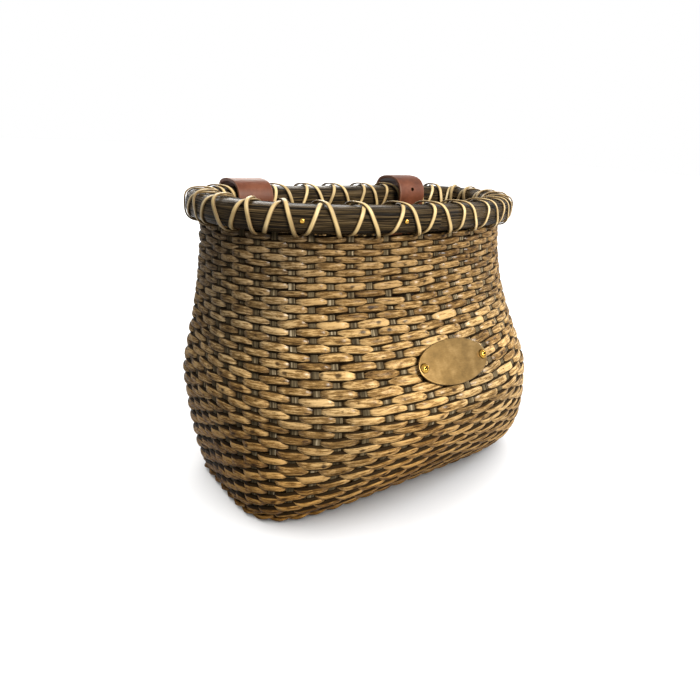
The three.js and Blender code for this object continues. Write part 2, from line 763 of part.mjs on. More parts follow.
function buckleProng(layout) {
  const points = [];
  const go = (p, q) => {
    const at = layout.onFrame(p, q);
    points.push(new THREE.Vector3(0, at.x, at.y));
  };
  for (let angle = -30; angle >= -270; angle -= 30) {
    const turn = THREE.MathUtils.degToRad(angle);
    go(layout.prongRing * Math.cos(turn), layout.prongRing * Math.sin(turn));
  }
  const tip = frameLength + rollerRadius + prongRadius;
  go(tip, mix(layout.prongRing, layout.prongRest, tip / frameLength));
  return wire(points, new THREE.Vector3(1, 0, 0), prongRadius, false);
}

// Keeper: a leather band round the strap's two runs.
function keeper(layout) {
  const middle = buckleHeight - keeperDrop + keeperHeight / 2;
  const back = layout.half + seatGap;
  const front = -layout.half - strapThickness - freeGap - seatGap;
  const wide = strapWidth / 2 + seatGap;
  const outline = (grow) => [
    new THREE.Vector2(-wide - grow, front - grow), new THREE.Vector2(wide + grow, front - grow),
    new THREE.Vector2(wide + grow, back + grow), new THREE.Vector2(-wide - grow, back + grow),
  ];
  const shape = new THREE.Shape(outline(keeperThickness));
  shape.holes.push(new THREE.Path(outline(0)));
  const band = new THREE.ExtrudeGeometry(shape, { depth: keeperHeight, bevelEnabled: false });
  return onLayer(layout, middle, band.translate(0, 0, -keeperHeight / 2));
}

function slotCutter(layout) {
  const turn = backOuter(slotHeight, layout.aside) - wallThickness / 2 - layout.layer(slotHeight);
  const top = slotHeight + slotClearance;
  const bottom = slotHeight - turn - layout.half - slotClearance;
  const tool = new THREE.BoxGeometry(strapWidth + 2 * slotClearance, 4 * wallThickness, top - bottom);
  return tool.translate(layout.aside, backOuter(slotHeight, layout.aside) - wallThickness / 2, (top + bottom) / 2);
}

// Assembly
const straps = {
  left: strapLayout(strapShift - strapSpread, leftArchLift, leftSpareHoles),
  right: strapLayout(strapShift + strapSpread, rightArchLift, rightSpareHoles),
};

const { outer, inner } = wallRings();
const shell = loft([...outer, ...inner.reverse()], true, (ring, stake) => (ring + stake) % 2 === 1);
const staked = stakeTops().reduce((solid, post) => solid.add(toSolid(post)), toSolid(shell));
const openings = [...Object.values(straps).map(slotCutter), screwHole(-1), screwHole(1)];
add('woven_wall', cut(toGeometry(staked), openings), materials.rattan);

const footRing = outer[0].map((point, column) => {
  const ahead = outer[0][(column + 1) % stakeCount];
  const behind = outer[0][(column + stakeCount - 1) % stakeCount];
  const along = ahead.clone().sub(behind).normalize();
  return point.clone().add(new THREE.Vector3(-along.y, along.x, 0).multiplyScalar(seatGap));
});
add('woven_base', loft([footRing, footRing.map((point) => point.clone().setZ(wallThickness))], false), materials.rattan);

const nails = nailStakes.map(nailPlace);
add('rim_outer_hoop', cut(hoop(1), nails.map((place) => nailHole().applyMatrix4(place))), materials.pole);
add('rim_inner_hoop', hoop(-1), materials.pole);
add('rim_filler', filler(), materials.pole);
add('lashing_forward', lashing(1), materials.cane);
add('lashing_return', lashing(-1), materials.cane);
nails.forEach((place, i) => add(`rim_nail_${i + 1}`, nail().applyMatrix4(place), materials.brass));

add('badge_plate', plate(), materials.brass, plateGroup);
for (const [side, label] of [[-1, 'left'], [1, 'right']]) {
  const place = new THREE.Group();
  place.position.x = side * screwSpacing / 2;
  plateGroup.add(place);
  add(`badge_screw_${label}`, screw(), materials.brass, place);
  add(`badge_washer_${label}`, washer(), materials.brass, place);
  add(`badge_nut_${label}`, nut(), materials.brass, place);
}
basket.add(plateGroup);

for (const [label, layout] of Object.entries(straps)) {
  const place = new THREE.Group();
  place.position.x = layout.aside;
  basket.add(place);
  add(`${label}_strap`, strap(layout, strapRoute(layout)), materials.leather, place);
  add(`${label}_strap_rivet`, rivet(layout), materials.brass, place);
  add(`${label}_strap_keeper`, keeper(layout), materials.leather, place);
  add(`${label}_buckle_frame`, buckleFrame(layout), materials.brass, place);
  add(`${label}_buckle_roller`, buckleRoller(layout), materials.brass, place);
  add(`${label}_buckle_prong`, buckleProng(layout), materials.brass, place);
}

export default basket;
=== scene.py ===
"""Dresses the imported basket: woven wall and base, laced rim, leather straps, buckles and brass plate."""

import bpy
import numpy as np
from bpy.props import FloatProperty, FloatVectorProperty, IntProperty, PointerProperty
from mathutils import Matrix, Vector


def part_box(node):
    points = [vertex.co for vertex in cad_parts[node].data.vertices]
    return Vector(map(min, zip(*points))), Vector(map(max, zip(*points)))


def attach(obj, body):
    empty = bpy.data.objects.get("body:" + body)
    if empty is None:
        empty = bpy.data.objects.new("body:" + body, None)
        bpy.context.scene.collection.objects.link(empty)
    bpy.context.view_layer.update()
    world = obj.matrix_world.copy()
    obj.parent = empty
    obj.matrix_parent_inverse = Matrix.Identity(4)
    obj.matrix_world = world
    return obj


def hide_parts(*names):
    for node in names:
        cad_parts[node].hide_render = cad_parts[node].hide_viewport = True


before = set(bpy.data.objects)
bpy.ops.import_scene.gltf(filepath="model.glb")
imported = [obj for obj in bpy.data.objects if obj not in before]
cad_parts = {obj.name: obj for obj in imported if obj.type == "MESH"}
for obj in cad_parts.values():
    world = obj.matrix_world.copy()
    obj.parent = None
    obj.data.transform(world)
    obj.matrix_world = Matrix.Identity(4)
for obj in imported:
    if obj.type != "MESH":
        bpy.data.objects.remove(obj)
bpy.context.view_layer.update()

bl_info = {
    "name": "Woven handlebar basket",
    "version": (1, 0, 0),
    "blender": (4, 5, 0),
    "location": "View3D > Sidebar > Basket",
    "description": "Weaves, laces and straps a D-plan rattan basket round its packed solids",
    "category": "Object",
}

MM = 0.001
ROOT = "basket"
SIDES = ("left", "right")

# Form of the body in millimetres, as in the solids
RIM_HEIGHT = 200.0
BELLY_HEIGHT = 81.0
HOOP_HEIGHT = 16.4
HOOP_THICKNESS = 7.6
HOOP_SQUARENESS = 2.8
WALL_THICKNESS = 4.4
SEAT_GAP = 0.3
NECK_HEIGHT = RIM_HEIGHT - 0.75 * HOOP_HEIGHT
RIM_MIDDLE = RIM_HEIGHT - HOOP_HEIGHT / 2
RIM_HALF_DEPTH = WALL_THICKNESS / 2 + SEAT_GAP + HOOP_THICKNESS
LASH_REACH = 3.0
SHOULDER_CURVE = 0.655
FOOT_CURVE = 1.33
BACK_SQUARENESS = 4.0
HALF_WIDTHS = {"belly": 133.0, "rim": 118.0, "foot": 117.0}
FRONT_REACHES = {"belly": 119.0, "rim": 71.6, "foot": 62.0}
BACK_REACHES = {"belly": 48.0, "rim": 42.1, "foot": 34.0}
FRONT_SQUARENESS = {"belly": 2.28, "rim": 2.16, "foot": 6.6}
STAKES = 52
STAKE_CROWDING = 0.15
STRAP_CENTRES = {"left": -76.0, "right": 65.0}
ARCH_LIFTS = {"left": 0.0, "right": 2.2}


# Settings


class WeaveSettings(bpy.types.PropertyGroup):
    """Sizes and colours of the woven wall and base."""

    float_thickness: FloatProperty(
        name="Float thickness", description="Thickness of a weaver",
        default=0.0026, unit="LENGTH")
    float_share: FloatProperty(
        name="Float height", description="Height of a weaver as a share of its row",
        default=1.10, subtype="FACTOR")
    sway: FloatProperty(
        name="Sway", description="How far a weaver swings in and out past the stakes",
        default=0.0015, unit="LENGTH")
    stake_width: FloatProperty(
        name="Stake width", description="Width of an upright stake",
        default=0.0044, unit="LENGTH")
    stake_thickness: FloatProperty(
        name="Stake thickness", description="Thickness of an upright stake",
        default=0.0014, unit="LENGTH")
    seed: IntProperty(
        name="Seed", description="Start of the random draws for tone and unevenness",
        default=7)
    dark: FloatVectorProperty(
        name="Dark cane", description="Darkest tone of the weavers",
        default=(0.042, 0.021, 0.007), subtype="COLOR")
    middle: FloatVectorProperty(
        name="Middle cane", description="Common tone of the weavers",
        default=(0.205, 0.117, 0.038), subtype="COLOR")
    light: FloatVectorProperty(
        name="Light cane", description="Palest tone of the weavers",
        default=(0.56, 0.372, 0.160), subtype="COLOR")
    stake: FloatVectorProperty(
        name="Stake", description="Tone of the grey stakes",
        default=(0.120, 0.091, 0.051), subtype="COLOR")


class RimSettings(bpy.types.PropertyGroup):
    """Sizes and colours of the rim and its lashing."""

    lash_width: FloatProperty(
        name="Lash width", description="Width of a lashing strip",
        default=0.0027, unit="LENGTH")
    lash_thickness: FloatProperty(
        name="Lash thickness", description="Thickness of a lashing strip",
        default=0.0010, unit="LENGTH")
    pole_dark: FloatVectorProperty(
        name="Dark pole", description="Darkest tone of the hoops",
        default=(0.016, 0.010, 0.005), subtype="COLOR")
    pole_light: FloatVectorProperty(
        name="Light pole", description="Palest tone of the hoops",
        default=(0.165, 0.112, 0.050), subtype="COLOR")
    cane: FloatVectorProperty(
        name="Lashing", description="Tone of the lashing strips",
        default=(0.50, 0.375, 0.180), subtype="COLOR")


class StrapSettings(bpy.types.PropertyGroup):
    """Sizes and colours of the straps and the brass."""

    width: FloatProperty(
        name="Strap width", description="Width of a strap", unit="LENGTH",
        default=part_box("left_strap")[1][0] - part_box("left_strap")[0][0])
    thickness: FloatProperty(
        name="Strap thickness", description="Thickness of a strap",
        default=0.0024, unit="LENGTH")
    leather: FloatVectorProperty(
        name="Leather", description="Tone of the leather",
        default=(0.100, 0.030, 0.013), subtype="COLOR")
    brass: FloatVectorProperty(
        name="Brass", description="Tone of the satin brass",
        default=(0.180, 0.110, 0.039), subtype="COLOR")
    polished: FloatVectorProperty(
        name="Screw brass", description="Tone of the screws and nails",
        default=(0.44, 0.245, 0.040), subtype="COLOR")


class StageSettings(bpy.types.PropertyGroup):
    """Floor, light and camera."""

    floor: FloatVectorProperty(
        name="Floor", description="Colour of the floor",
        default=(0.92, 0.92, 0.92), subtype="COLOR")
    lens: FloatProperty(
        name="Lens", description="Focal length of the camera",
        default=28.985, unit="CAMERA")


class BasketSettings(bpy.types.PropertyGroup):
    """Everything a user would change."""

    weave: PointerProperty(type=WeaveSettings)
    rim: PointerProperty(type=RimSettings)
    straps: PointerProperty(type=StrapSettings)
    stage: PointerProperty(type=StageSettings)


# Shaders


class Flow:
    """A socket of a material. Arithmetic on it adds Math nodes, and node() adds any other node."""

    def __init__(self, tree, socket=None):
        self.tree = tree
        self.socket = socket

    def node(self, kind, settings=None, inputs=None, out=0):
        made = self.tree.nodes.new("ShaderNode" + kind)
        for name, value in (settings or {}).items():
            if name == "stops":
                self._fill_ramp(made.color_ramp, value)
            else:
                setattr(made, name, value)
        for name, value in (inputs or {}).items():
            if isinstance(value, Flow):
                self.tree.links.new(value.socket, made.inputs[name])
            else:
                made.inputs[name].default_value = value
        return Flow(self.tree, made.outputs[out])

    @staticmethod
    def _fill_ramp(ramp, stops):
        while len(ramp.elements) < len(stops):
            ramp.elements.new(0.5)
        for element, (place, colour) in zip(ramp.elements, stops):
            element.position = place
            element.color = (*colour, 1.0)

    def math(self, operation, *values):
        return self.node("Math", {"operation": operation}, dict(enumerate(values)))

    def __add__(self, other):
        return self.math("ADD", self, other)

    def __radd__(self, other):
        return self.math("ADD", other, self)

    def __sub__(self, other):
        return self.math("SUBTRACT", self, other)

    def __rsub__(self, other):
        return self.math("SUBTRACT", other, self)

    def __mul__(self, other):
        return self.math("MULTIPLY", self, other)

    def __abs__(self):
        return self.math("ABSOLUTE", self)

    def __pow__(self, other):
        return self.math("POWER", self, other)

    def step(self, low, high):
        """0 below low, 1 above high, smooth in between; low may be the larger."""
        return self.node("MapRange", {"interpolation_type": "SMOOTHSTEP"},
                         {"Value": self, "From Min": low, "From Max": high})

    def stretched(self, factors):
        return self.node("VectorMath", {"operation": "MULTIPLY"}, {0: self, 1: factors})

    def noise(self, scale, detail, rough):
        return self.node("TexNoise", {"noise_dimensions": "3D"},
                         {"Vector": self, "Scale": scale, "Detail": detail, "Roughness": rough}, out="Fac")

    def grain(self, along, across, detail, rough):
        """Noise drawn out along a piece: cells to a metre along and across it."""
        return self.stretched((along, across, 1.0)).noise(1.0, detail, rough)

    def attribute(self, name):
        return self.node("Attribute", {"attribute_name": name}, out="Fac")

    def ramp(self, *stops):
        return self.node("ValToRGB", {"stops": stops}, {"Fac": self}, out="Color")

    def mixed(self, first, second, blend="MIX"):
        """Two colours mixed by this value."""
        pair = {"Factor": self, "A": first, "B": second}
        made = self.node("Mix", {"data_type": "RGBA", "blend_type": blend, "clamp_factor": True})
        mix = made.socket.node
        for socket in mix.inputs:
            value = pair.get(socket.name) if socket.enabled else None
            if isinstance(value, Flow):
                self.tree.links.new(value.socket, socket)
            elif value is not None:
                socket.default_value = value if socket.type == "VALUE" else (*value[:3], 1.0)
        return Flow(self.tree, next(s for s in mix.outputs if s.enabled))


def new_material(name):
    """A material with a Principled shader and its output: returns it, a Flow on its tree, and the shader."""
    material = bpy.data.materials.new(name)
    material.use_nodes = True
    tree = material.node_tree
    tree.nodes.clear()
    shader = tree.nodes.new("ShaderNodeBsdfPrincipled")
    output = tree.nodes.new("ShaderNodeOutputMaterial")
    tree.links.new(shader.outputs["BSDF"], output.inputs["Surface"])
    return material, Flow(tree), shader


def feed(shader, values):
    """Sets or links the shader's sockets by name."""
    for name, value in values.items():
        if isinstance(value, Flow):
            value.tree.links.new(value.socket, shader.inputs[name])
        elif hasattr(value, "__len__"):
            shader.inputs[name].default_value = (*value[:3], 1.0)
        else:
            shader.inputs[name].default_value = value


def bumped(flow, height, strength, distance):
    return flow.node("Bump", None, {"Height": height, "Strength": strength, "Distance": distance},
                     out="Normal")


def mixed_tone(first, second, share):
    return tuple(a + (b - a) * share for a, b in zip(first, second))


# Tones that aren't settings: painted shade, marks, stains and wear
BLACK = (0.0, 0.0, 0.0)
# painted shade: near-black brown for the shade in the weave's gaps and in the screws' recesses
PAINTED_SHADE_BROWN = (0.012, 0.007, 0.003)
KNOT_BROWN = (0.022, 0.011, 0.005)
BLEACH_TINT = (0.84, 0.96, 1.25)
FOOT_TINT = (0.94, 0.76, 0.46)
# painted shade: a near-grey darkening of the wall below the rim, where the rim's overhang shades it
NECK_SHADE = (0.55, 0.53, 0.52)
STAKE_STREAK = (0.62, 0.52, 0.36)
FISSURE_BLACK = (0.004, 0.003, 0.002)
POLE_STREAK = (0.5, 0.42, 0.28)
CANE_STAIN = (0.10, 0.055, 0.02)
CANE_SHADE = (0.2, 0.13, 0.05)
CANE_STREAK = (0.85, 0.72, 0.46)
CANE_EDGE = (0.09, 0.05, 0.018)
LEATHER_CLOUD = (0.26, 0.10, 0.055)
LEATHER_EDGE = (0.24, 0.11, 0.06)
TARNISH = (0.03, 0.02, 0.008)
BRIGHT_BRASS = (0.45, 0.30, 0.13)


def float_material(weave):
    """Varnished rattan: a tone for each float, fibres and mottling along it, and dark marks.

    Painted shade darkens the crossings, where a float dives behind a stake, and its upper and lower edges.
    The foot is tinted browner and the neck is darkened by painted shade, by height.
    """
    material, flow, shader = new_material("rattan_floats")
    uv = flow.node("TexCoord", out="UV")
    place = flow.node("TexCoord", out="Object")
    names = ("tone", "along", "across", "knot", "crossing")
    tone, along, across, knot, crossing = map(flow.attribute, names)
    fibre = uv.grain(110.0, 1300.0, 5.0, 0.75)
    blotch = uv.grain(150.0, 380.0, 3.0, 0.6)
    patch = place.noise(13.0, 2.0, 0.5)
    value = tone + (fibre - 0.5) * 3.2 + (blotch - 0.5) * 1.2 + (patch - 0.5) * 0.5
    colour = value.ramp(
        (0.05, weave.dark), (0.30, mixed_tone(weave.dark, weave.middle, 0.7)), (0.52, weave.middle),
        (0.76, mixed_tone(weave.middle, weave.light, 0.6)), (0.98, weave.light))
    reach = ((along * along) * 0.6 + (across * across) * 2.0) ** 0.5 + (blotch - 0.5) * 2.4
    spot = reach.step(1.9, 0.5) * knot
    nick = uv.grain(210.0, 520.0, 2.0, 0.5).step(0.62, 0.74)
    colour = (spot * 0.85 + nick * 0.7).mixed(colour, KNOT_BROWN)
    bleached = place.noise(8.0, 2.0, 0.5).step(0.40, 0.62)
    colour = (bleached * 0.7).mixed(colour, BLEACH_TINT, "MULTIPLY")
    height = flow.node("SeparateXYZ", None, {"Vector": place}, out="Z")
    colour = (height.step(0.12, 0.0) * 0.9).mixed(colour, FOOT_TINT, "MULTIPLY")
    # painted shade below the rim, by height
    colour = height.step(0.10, 0.17).mixed(colour, NECK_SHADE, "MULTIPLY")
    # painted shade: dark bands along each float's upper and lower edges and at the crossings behind the
    # stakes, for the shade in the weave's gaps
    gap_shade = abs(across).step(1.68, 2.15) * 0.97 + crossing.step(0.72, 0.84) * 0.95
    varnish = (1.0 - gap_shade) * (0.05 + crossing.step(0.30, 0.62) * 0.20)
    feed(shader, {"Base Color": gap_shade.mixed(colour, PAINTED_SHADE_BROWN), "Roughness": 0.34 + fibre * 0.26,
                  "Specular IOR Level": 0.02, "Coat Weight": varnish, "Coat Roughness": 0.20,
                  "Normal": bumped(flow, fibre + blotch * 0.8, 0.8, 0.0008)})
    return material


def stake_material(weave):
    """Grey split cane: light and dark streaks along the stake."""
    material, flow, shader = new_material("stake_cane")
    uv = flow.node("TexCoord", out="UV")
    streak = uv.grain(9.0, 1150.0, 3.0, 0.6)
    spot = uv.grain(120.0, 300.0, 2.0, 0.5)
    colour = (streak + (spot - 0.5) * 0.4).ramp(
        (0.30, mixed_tone(BLACK, weave.stake, 0.18)), (0.46, mixed_tone(BLACK, weave.stake, 0.55)),
        (0.58, weave.stake), (0.72, mixed_tone(weave.stake, STAKE_STREAK, 0.5)))
    feed(shader, {"Base Color": colour, "Roughness": 0.42 + streak * 0.2, "Specular IOR Level": 0.02,
                  "Normal": bumped(flow, streak, 0.6, 0.0006)})
    return material


def pole_material(rim):
    """Dark stained pole: long fibres, black fissures between them and a satin skin."""
    material, flow, shader = new_material("stained_pole")
    uv = flow.node("TexCoord", out="UV")
    fibre = uv.grain(24.0, 1700.0, 4.0, 0.7)
    skin = uv.grain(14.0, 900.0, 3.0, 0.65).step(0.42, 0.52)
    colour = fibre.ramp((0.40, rim.pole_dark), (0.54, mixed_tone(rim.pole_dark, rim.pole_light, 0.35)),
                        (0.66, rim.pole_light), (0.78, mixed_tone(rim.pole_light, POLE_STREAK, 0.7)))
    colour = (skin * 0.85).mixed(FISSURE_BLACK, colour)
    feed(shader, {"Base Color": colour, "Roughness": 0.46 - skin * 0.16, "Specular IOR Level": 0.05,
                  "Normal": bumped(flow, skin + fibre * 0.6, 0.8, 0.0008)})
    return material


def cane_material(rim):
    """Pale flat cane: fine fibres, some browner stretches, dark edges."""
    material, flow, shader = new_material("lashing_cane")
    uv = flow.node("TexCoord", out="UV")
    fibre = uv.grain(60.0, 1200.0, 4.0, 0.65)
    stain = uv.grain(60.0, 160.0, 2.0, 0.5)
    colour = (fibre * 0.7 + stain * 0.9 - 0.2).ramp(
        (0.36, mixed_tone(CANE_STAIN, rim.cane, 0.25)), (0.54, mixed_tone(CANE_SHADE, rim.cane, 0.7)),
        (0.68, rim.cane), (0.88, mixed_tone(rim.cane, CANE_STREAK, 0.7)))
    edge = flow.attribute("edge").step(0.45, 0.95)
    feed(shader, {"Base Color": (edge * 0.85).mixed(colour, CANE_EDGE), "Roughness": 0.38 + fibre * 0.2,
                  "Specular IOR Level": 0.2, "Normal": bumped(flow, fibre, 0.4, 0.0003)})
    return material


def leather_material(straps, centre):
    """Smooth chestnut leather: fine pores, soft clouding, and a paler worn line along the strap's edges."""
    material, flow, shader = new_material("chestnut_leather")
    place = flow.node("TexCoord", out="Object")
    cloud = place.noise(55.0, 3.0, 0.5)
    pores = place.node("TexVoronoi", {"feature": "F1"}, {"Vector": place, "Scale": 1500.0}, out="Distance")
    wrinkle = place.noise(420.0, 4.0, 0.6)
    colour = (cloud + (wrinkle - 0.5) * 0.35).ramp(
        (0.28, mixed_tone(BLACK, straps.leather, 0.62)), (0.52, straps.leather),
        (0.80, mixed_tone(straps.leather, LEATHER_CLOUD, 0.4)))
    side = flow.node("SeparateXYZ", None, {"Vector": place}, out="X")
    edge = abs(side - centre * MM).step(0.0112, 0.0126)
    colour = (edge * 0.6).mixed(colour, mixed_tone(straps.leather, LEATHER_EDGE, 0.5))
    feed(shader, {"Base Color": colour, "Roughness": 0.40 + cloud * 0.18, "Specular IOR Level": 0.2,
                  "Normal": bumped(flow, pores * 0.6 + wrinkle, 0.25, 0.0003)})
    return material


def brass_material(name, tone, rough):
    """Brass: fine scratches, soft tarnish, and painted shade where the piece's attribute says so."""
    material, flow, shader = new_material(name)
    place = flow.node("TexCoord", out="Object")
    scratch = place.stretched((300.0, 2600.0, 2600.0)).noise(1.0, 3.0, 0.6)
    cloud = place.noise(120.0, 3.0, 0.6)
    colour = (cloud + (scratch - 0.5) * 0.3).ramp(
        (0.30, mixed_tone(TARNISH, tone, 0.72)), (0.50, tone), (0.75, mixed_tone(tone, BRIGHT_BRASS, 0.3)))
    # painted shade from the piece's attribute: the screws' cross recesses and a painted dark reflection
    # round their heads
    grime = flow.attribute("grime")
    feed(shader, {"Base Color": grime.mixed(colour, PAINTED_SHADE_BROWN), "Metallic": 1.0,
                  "Roughness": rough + scratch * 0.16 + grime * 0.3,
                  "Normal": bumped(flow, scratch, 0.12, 0.0002)})
    return material


# Form of the body


def levels(height):
    """Half width, front reach, back reach and front squareness of the plan at each height.

    Above the belly the share of the way to the rim is half of one minus the cosine of pi times the rise
    raised to the shoulder curve. Below it the share of the way to the foot is one minus the root of one
    minus the drop raised to the foot curve.
    """
    height = np.asarray(height, float)
    rise = np.clip((height - BELLY_HEIGHT) / (NECK_HEIGHT - BELLY_HEIGHT), 0.0, 1.0)
    drop = np.clip((BELLY_HEIGHT - height) / BELLY_HEIGHT, 0.0, 1.0)
    up = 0.5 - 0.5 * np.cos(np.pi * rise ** SHOULDER_CURVE)
    down = 1.0 - np.sqrt(1.0 - drop ** FOOT_CURVE)

    def between(belly, rim, foot):
        return np.where(height >= BELLY_HEIGHT, belly + (rim - belly) * up, belly + (foot - belly) * down)

    sizes = (HALF_WIDTHS, FRONT_REACHES, BACK_REACHES, FRONT_SQUARENESS)
    return tuple(between(**values) for values in sizes)


def signed_power(value, power):
    return np.sign(value) * np.abs(value) ** power


def unit(vectors):
    return vectors / np.linalg.norm(vectors, axis=-1, keepdims=True)


FOOT_LEVELS = 60
TOP_LEVELS = 80
ROUND_SAMPLES = 1440


def wall_table():
    """Points and outward normals of the wall's face on a grid of levels and shares of the way round.

    Each level is a superellipse with its own front and back powers, run through at even length from the
    front middle towards +X. Levels below the belly are even in the bend of the foot, those above in height.
    """
    bend = np.linspace(np.pi / 2, 0.0, FOOT_LEVELS + 1)
    low = BELLY_HEIGHT * (1.0 - np.sin(bend) ** (2.0 / FOOT_CURVE))
    height = np.concatenate([low, np.linspace(BELLY_HEIGHT, RIM_HEIGHT, TOP_LEVELS + 1)[1:]])
    side, front, back, square = (values[:, None] for values in levels(height))
    angle = np.linspace(-np.pi / 2, 1.5 * np.pi, 2 * ROUND_SAMPLES + 1)[None]
    at_front = np.sin(angle) < 0.0
    power = 2.0 / np.where(at_front, square, BACK_SQUARENESS)
    x = side * signed_power(np.cos(angle), power)
    y = np.where(at_front, front, back) * signed_power(np.sin(angle), power)
    run = np.cumsum(np.hypot(np.diff(x, axis=1), np.diff(y, axis=1)), axis=1)
    run = np.concatenate([np.zeros((len(height), 1)), run], axis=1)
    share = np.linspace(0.0, 1.0, ROUND_SAMPLES + 1)
    even_x = np.stack([np.interp(share * r[-1], r, row) for r, row in zip(run, x)])
    even_y = np.stack([np.interp(share * r[-1], r, row) for r, row in zip(run, y)])
    points = np.stack([even_x, even_y, np.broadcast_to(height[:, None], even_x.shape)], axis=-1)
    ahead = np.roll(points[:, :-1], -1, axis=1) - np.roll(points[:, :-1], 1, axis=1)
    ahead = np.concatenate([ahead, ahead[:, :1]], axis=1)
    upward = np.gradient(points, axis=0)
    normal = np.cross(ahead, upward)
    normal[0] = (0.0, 0.0, -1.0)
    return points, unit(normal)


WALL_POINTS, WALL_NORMALS = wall_table()


def wall_points(height, share, out):
    """Points at heights and shares of the way round, moved outwards along the wall's normal.

    They are the table's four neighbours weighted by nearness.
    """
    height, share, out = np.broadcast_arrays(height, share, out)
    bend = np.arcsin(np.clip(1.0 - height / BELLY_HEIGHT, 0.0, 1.0) ** (FOOT_CURVE / 2.0))
    low = (1.0 - bend / (np.pi / 2)) * FOOT_LEVELS
    high = FOOT_LEVELS + (height - BELLY_HEIGHT) / (RIM_HEIGHT - BELLY_HEIGHT) * TOP_LEVELS
    level = np.clip(np.where(height < BELLY_HEIGHT, low, high), 0.0, FOOT_LEVELS + TOP_LEVELS - 1e-6)
    column = (share % 1.0) * ROUND_SAMPLES
    i = level.astype(int)
    j = np.minimum(column.astype(int), ROUND_SAMPLES - 1)
    a = (level - i)[..., None]
    b = (column - j)[..., None]

    def blended(table):
        lower = table[i, j] * (1.0 - b) + table[i, j + 1] * b
        upper = table[i + 1, j] * (1.0 - b) + table[i + 1, j + 1] * b
        return lower * (1.0 - a) + upper * a

    return blended(WALL_POINTS) + unit(blended(WALL_NORMALS)) * out[..., None]


def stake_share(number):
    """Share of the way round at a stake number: its turn plus a double sine that crowds the two ends."""
    turn = np.asarray(number, float) / STAKES
    return turn + STAKE_CROWDING / (4.0 * np.pi) * np.sin(4.0 * np.pi * turn)


def rim_points(share, out, rise):
    """Points of the rim's section, outwards and upwards from its middle, at shares of the way round."""
    points = wall_points(RIM_HEIGHT, share, out - WALL_THICKNESS / 2)
    points[..., 2] = RIM_MIDDLE + rise
    return points


def rim_section(angle, grow):
    """Superellipse round both hoops, grown by a distance: outwards and upwards from the middle."""
    power = 2.0 / HOOP_SQUARENESS
    return ((RIM_HALF_DEPTH + grow) * signed_power(np.cos(angle), power),
            (HOOP_HEIGHT / 2 + grow) * signed_power(np.sin(angle), power))


# Meshes


def grid_faces(rows, columns, closed):
    """Quads of a grid whose columns wrap round, and the grid place of each corner before it wraps."""
    i, j = np.meshgrid(np.arange(rows if closed else rows - 1), np.arange(columns), indexing="ij")
    i, j = i.ravel(), j.ravel()
    place = np.stack([np.stack([i, i, i + 1, i + 1], 1), np.stack([j, j + 1, j + 1, j], 1)], axis=-1)
    return (place[..., 0] % rows) * columns + place[..., 1] % columns, place


def signed_volume(points, triangles):
    a, b, c = (points[triangles[:, k]] for k in range(3))
    return np.einsum("ij,ij->", a, np.cross(b, c)) / 6.0


class Skin:
    """Collects closed tubes on one mesh: points, faces, UV of each face corner, values of each point."""

    def __init__(self):
        self.points = []
        self.faces = []
        self.uv = []
        self.values = {}
        self.count = 0

    def tube(self, rings, closed=False, lengths=None, round_lengths=None, values=None):
        """Adds rings of points as a tube: endless, or with a fan on each end.

        UV is the length along and round it.
        """
        rows, columns = rings.shape[:2]
        quads, place = grid_faces(rows, columns, closed)
        lengths = np.arange(rows) if lengths is None else lengths
        lengths = np.append(lengths, 2 * lengths[-1] - lengths[-2])
        around = np.arange(columns + 1.0) if round_lengths is None else round_lengths
        corner_uv = np.stack([lengths[place[..., 0]], around[place[..., 1]]], axis=-1)
        points = rings.reshape(-1, 3)
        fans = np.empty((0, 3), int)
        if not closed:
            middles = np.stack([rings[0].mean(0), rings[-1].mean(0)])
            points = np.concatenate([points, middles])
            j = np.arange(columns)
            following = (j + 1) % columns
            last = (rows - 1) * columns
            first_fan = np.stack([following, j, np.full(columns, rows * columns)], 1)
            last_fan = np.stack([last + j, last + following, np.full(columns, rows * columns + 1)], 1)
            fans = np.concatenate([first_fan, last_fan])
        triangles = np.concatenate([quads[:, [0, 1, 2]], quads[:, [0, 2, 3]], fans])
        if signed_volume(points, triangles) < 0.0:
            quads, corner_uv, fans = quads[:, ::-1], corner_uv[:, ::-1], fans[:, ::-1]
        self.faces += (quads + self.count).tolist() + (fans + self.count).tolist()
        self.uv.append(np.concatenate([corner_uv.reshape(-1, 2), np.zeros((fans.size, 2))]))
        self.points.append(points)
        self.count += len(points)
        for name, array in (values or {}).items():
            flat = np.broadcast_to(array, (rows, columns)).ravel()
            ends = np.zeros(0) if closed else np.array([flat[0], flat[-1]])
            self.values.setdefault(name, []).append(np.concatenate([flat, ends]))

    def object(self, name, material, slot, body, nodes=()):
        """Makes the Blender object, rides it on its body and lets it stand for the CAD nodes."""
        mesh = bpy.data.meshes.new(name)
        mesh.from_pydata((np.concatenate(self.points) * MM).tolist(), [], self.faces)
        layer = mesh.uv_layers.new(name="UVMap")
        layer.data.foreach_set("uv", (np.concatenate(self.uv) * MM).ravel().astype(np.float32))
        for key, arrays in self.values.items():
            attribute = mesh.attributes.new(key, "FLOAT", "POINT")
            attribute.data.foreach_set("value", np.concatenate(arrays).astype(np.float32))
        mesh.shade_smooth()
        if mesh.validate():
            raise RuntimeError(f"{name}: the mesh had faults")
        made = bpy.data.objects.new(name, mesh)
        bpy.context.scene.collection.objects.link(made)
        mesh.materials.append(material)
        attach(made, body)
        if nodes:
            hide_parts(*nodes)
        return made


def tube_piece(name, rings, material, slot, body, node, **options):
    """One tube as an object that stands for a CAD node."""
    skin = Skin()
    skin.tube(rings, **options)
    return skin.object(name, material, slot, body, [node])


def circle(count):
    return 2.0 * np.pi * np.arange(count) / count


def oval(count, half_width, half_height, squareness):
    """Points of a superellipse, from its underside up the outer side."""
    angle = -np.pi / 2 + circle(count)
    power = 2.0 / squareness
    return half_width * signed_power(np.cos(angle), power), half_height * signed_power(np.sin(angle), power)


def running_length(points):
    steps = np.linalg.norm(np.diff(points, axis=0), axis=1)
    return np.concatenate([[0.0], np.cumsum(steps)])


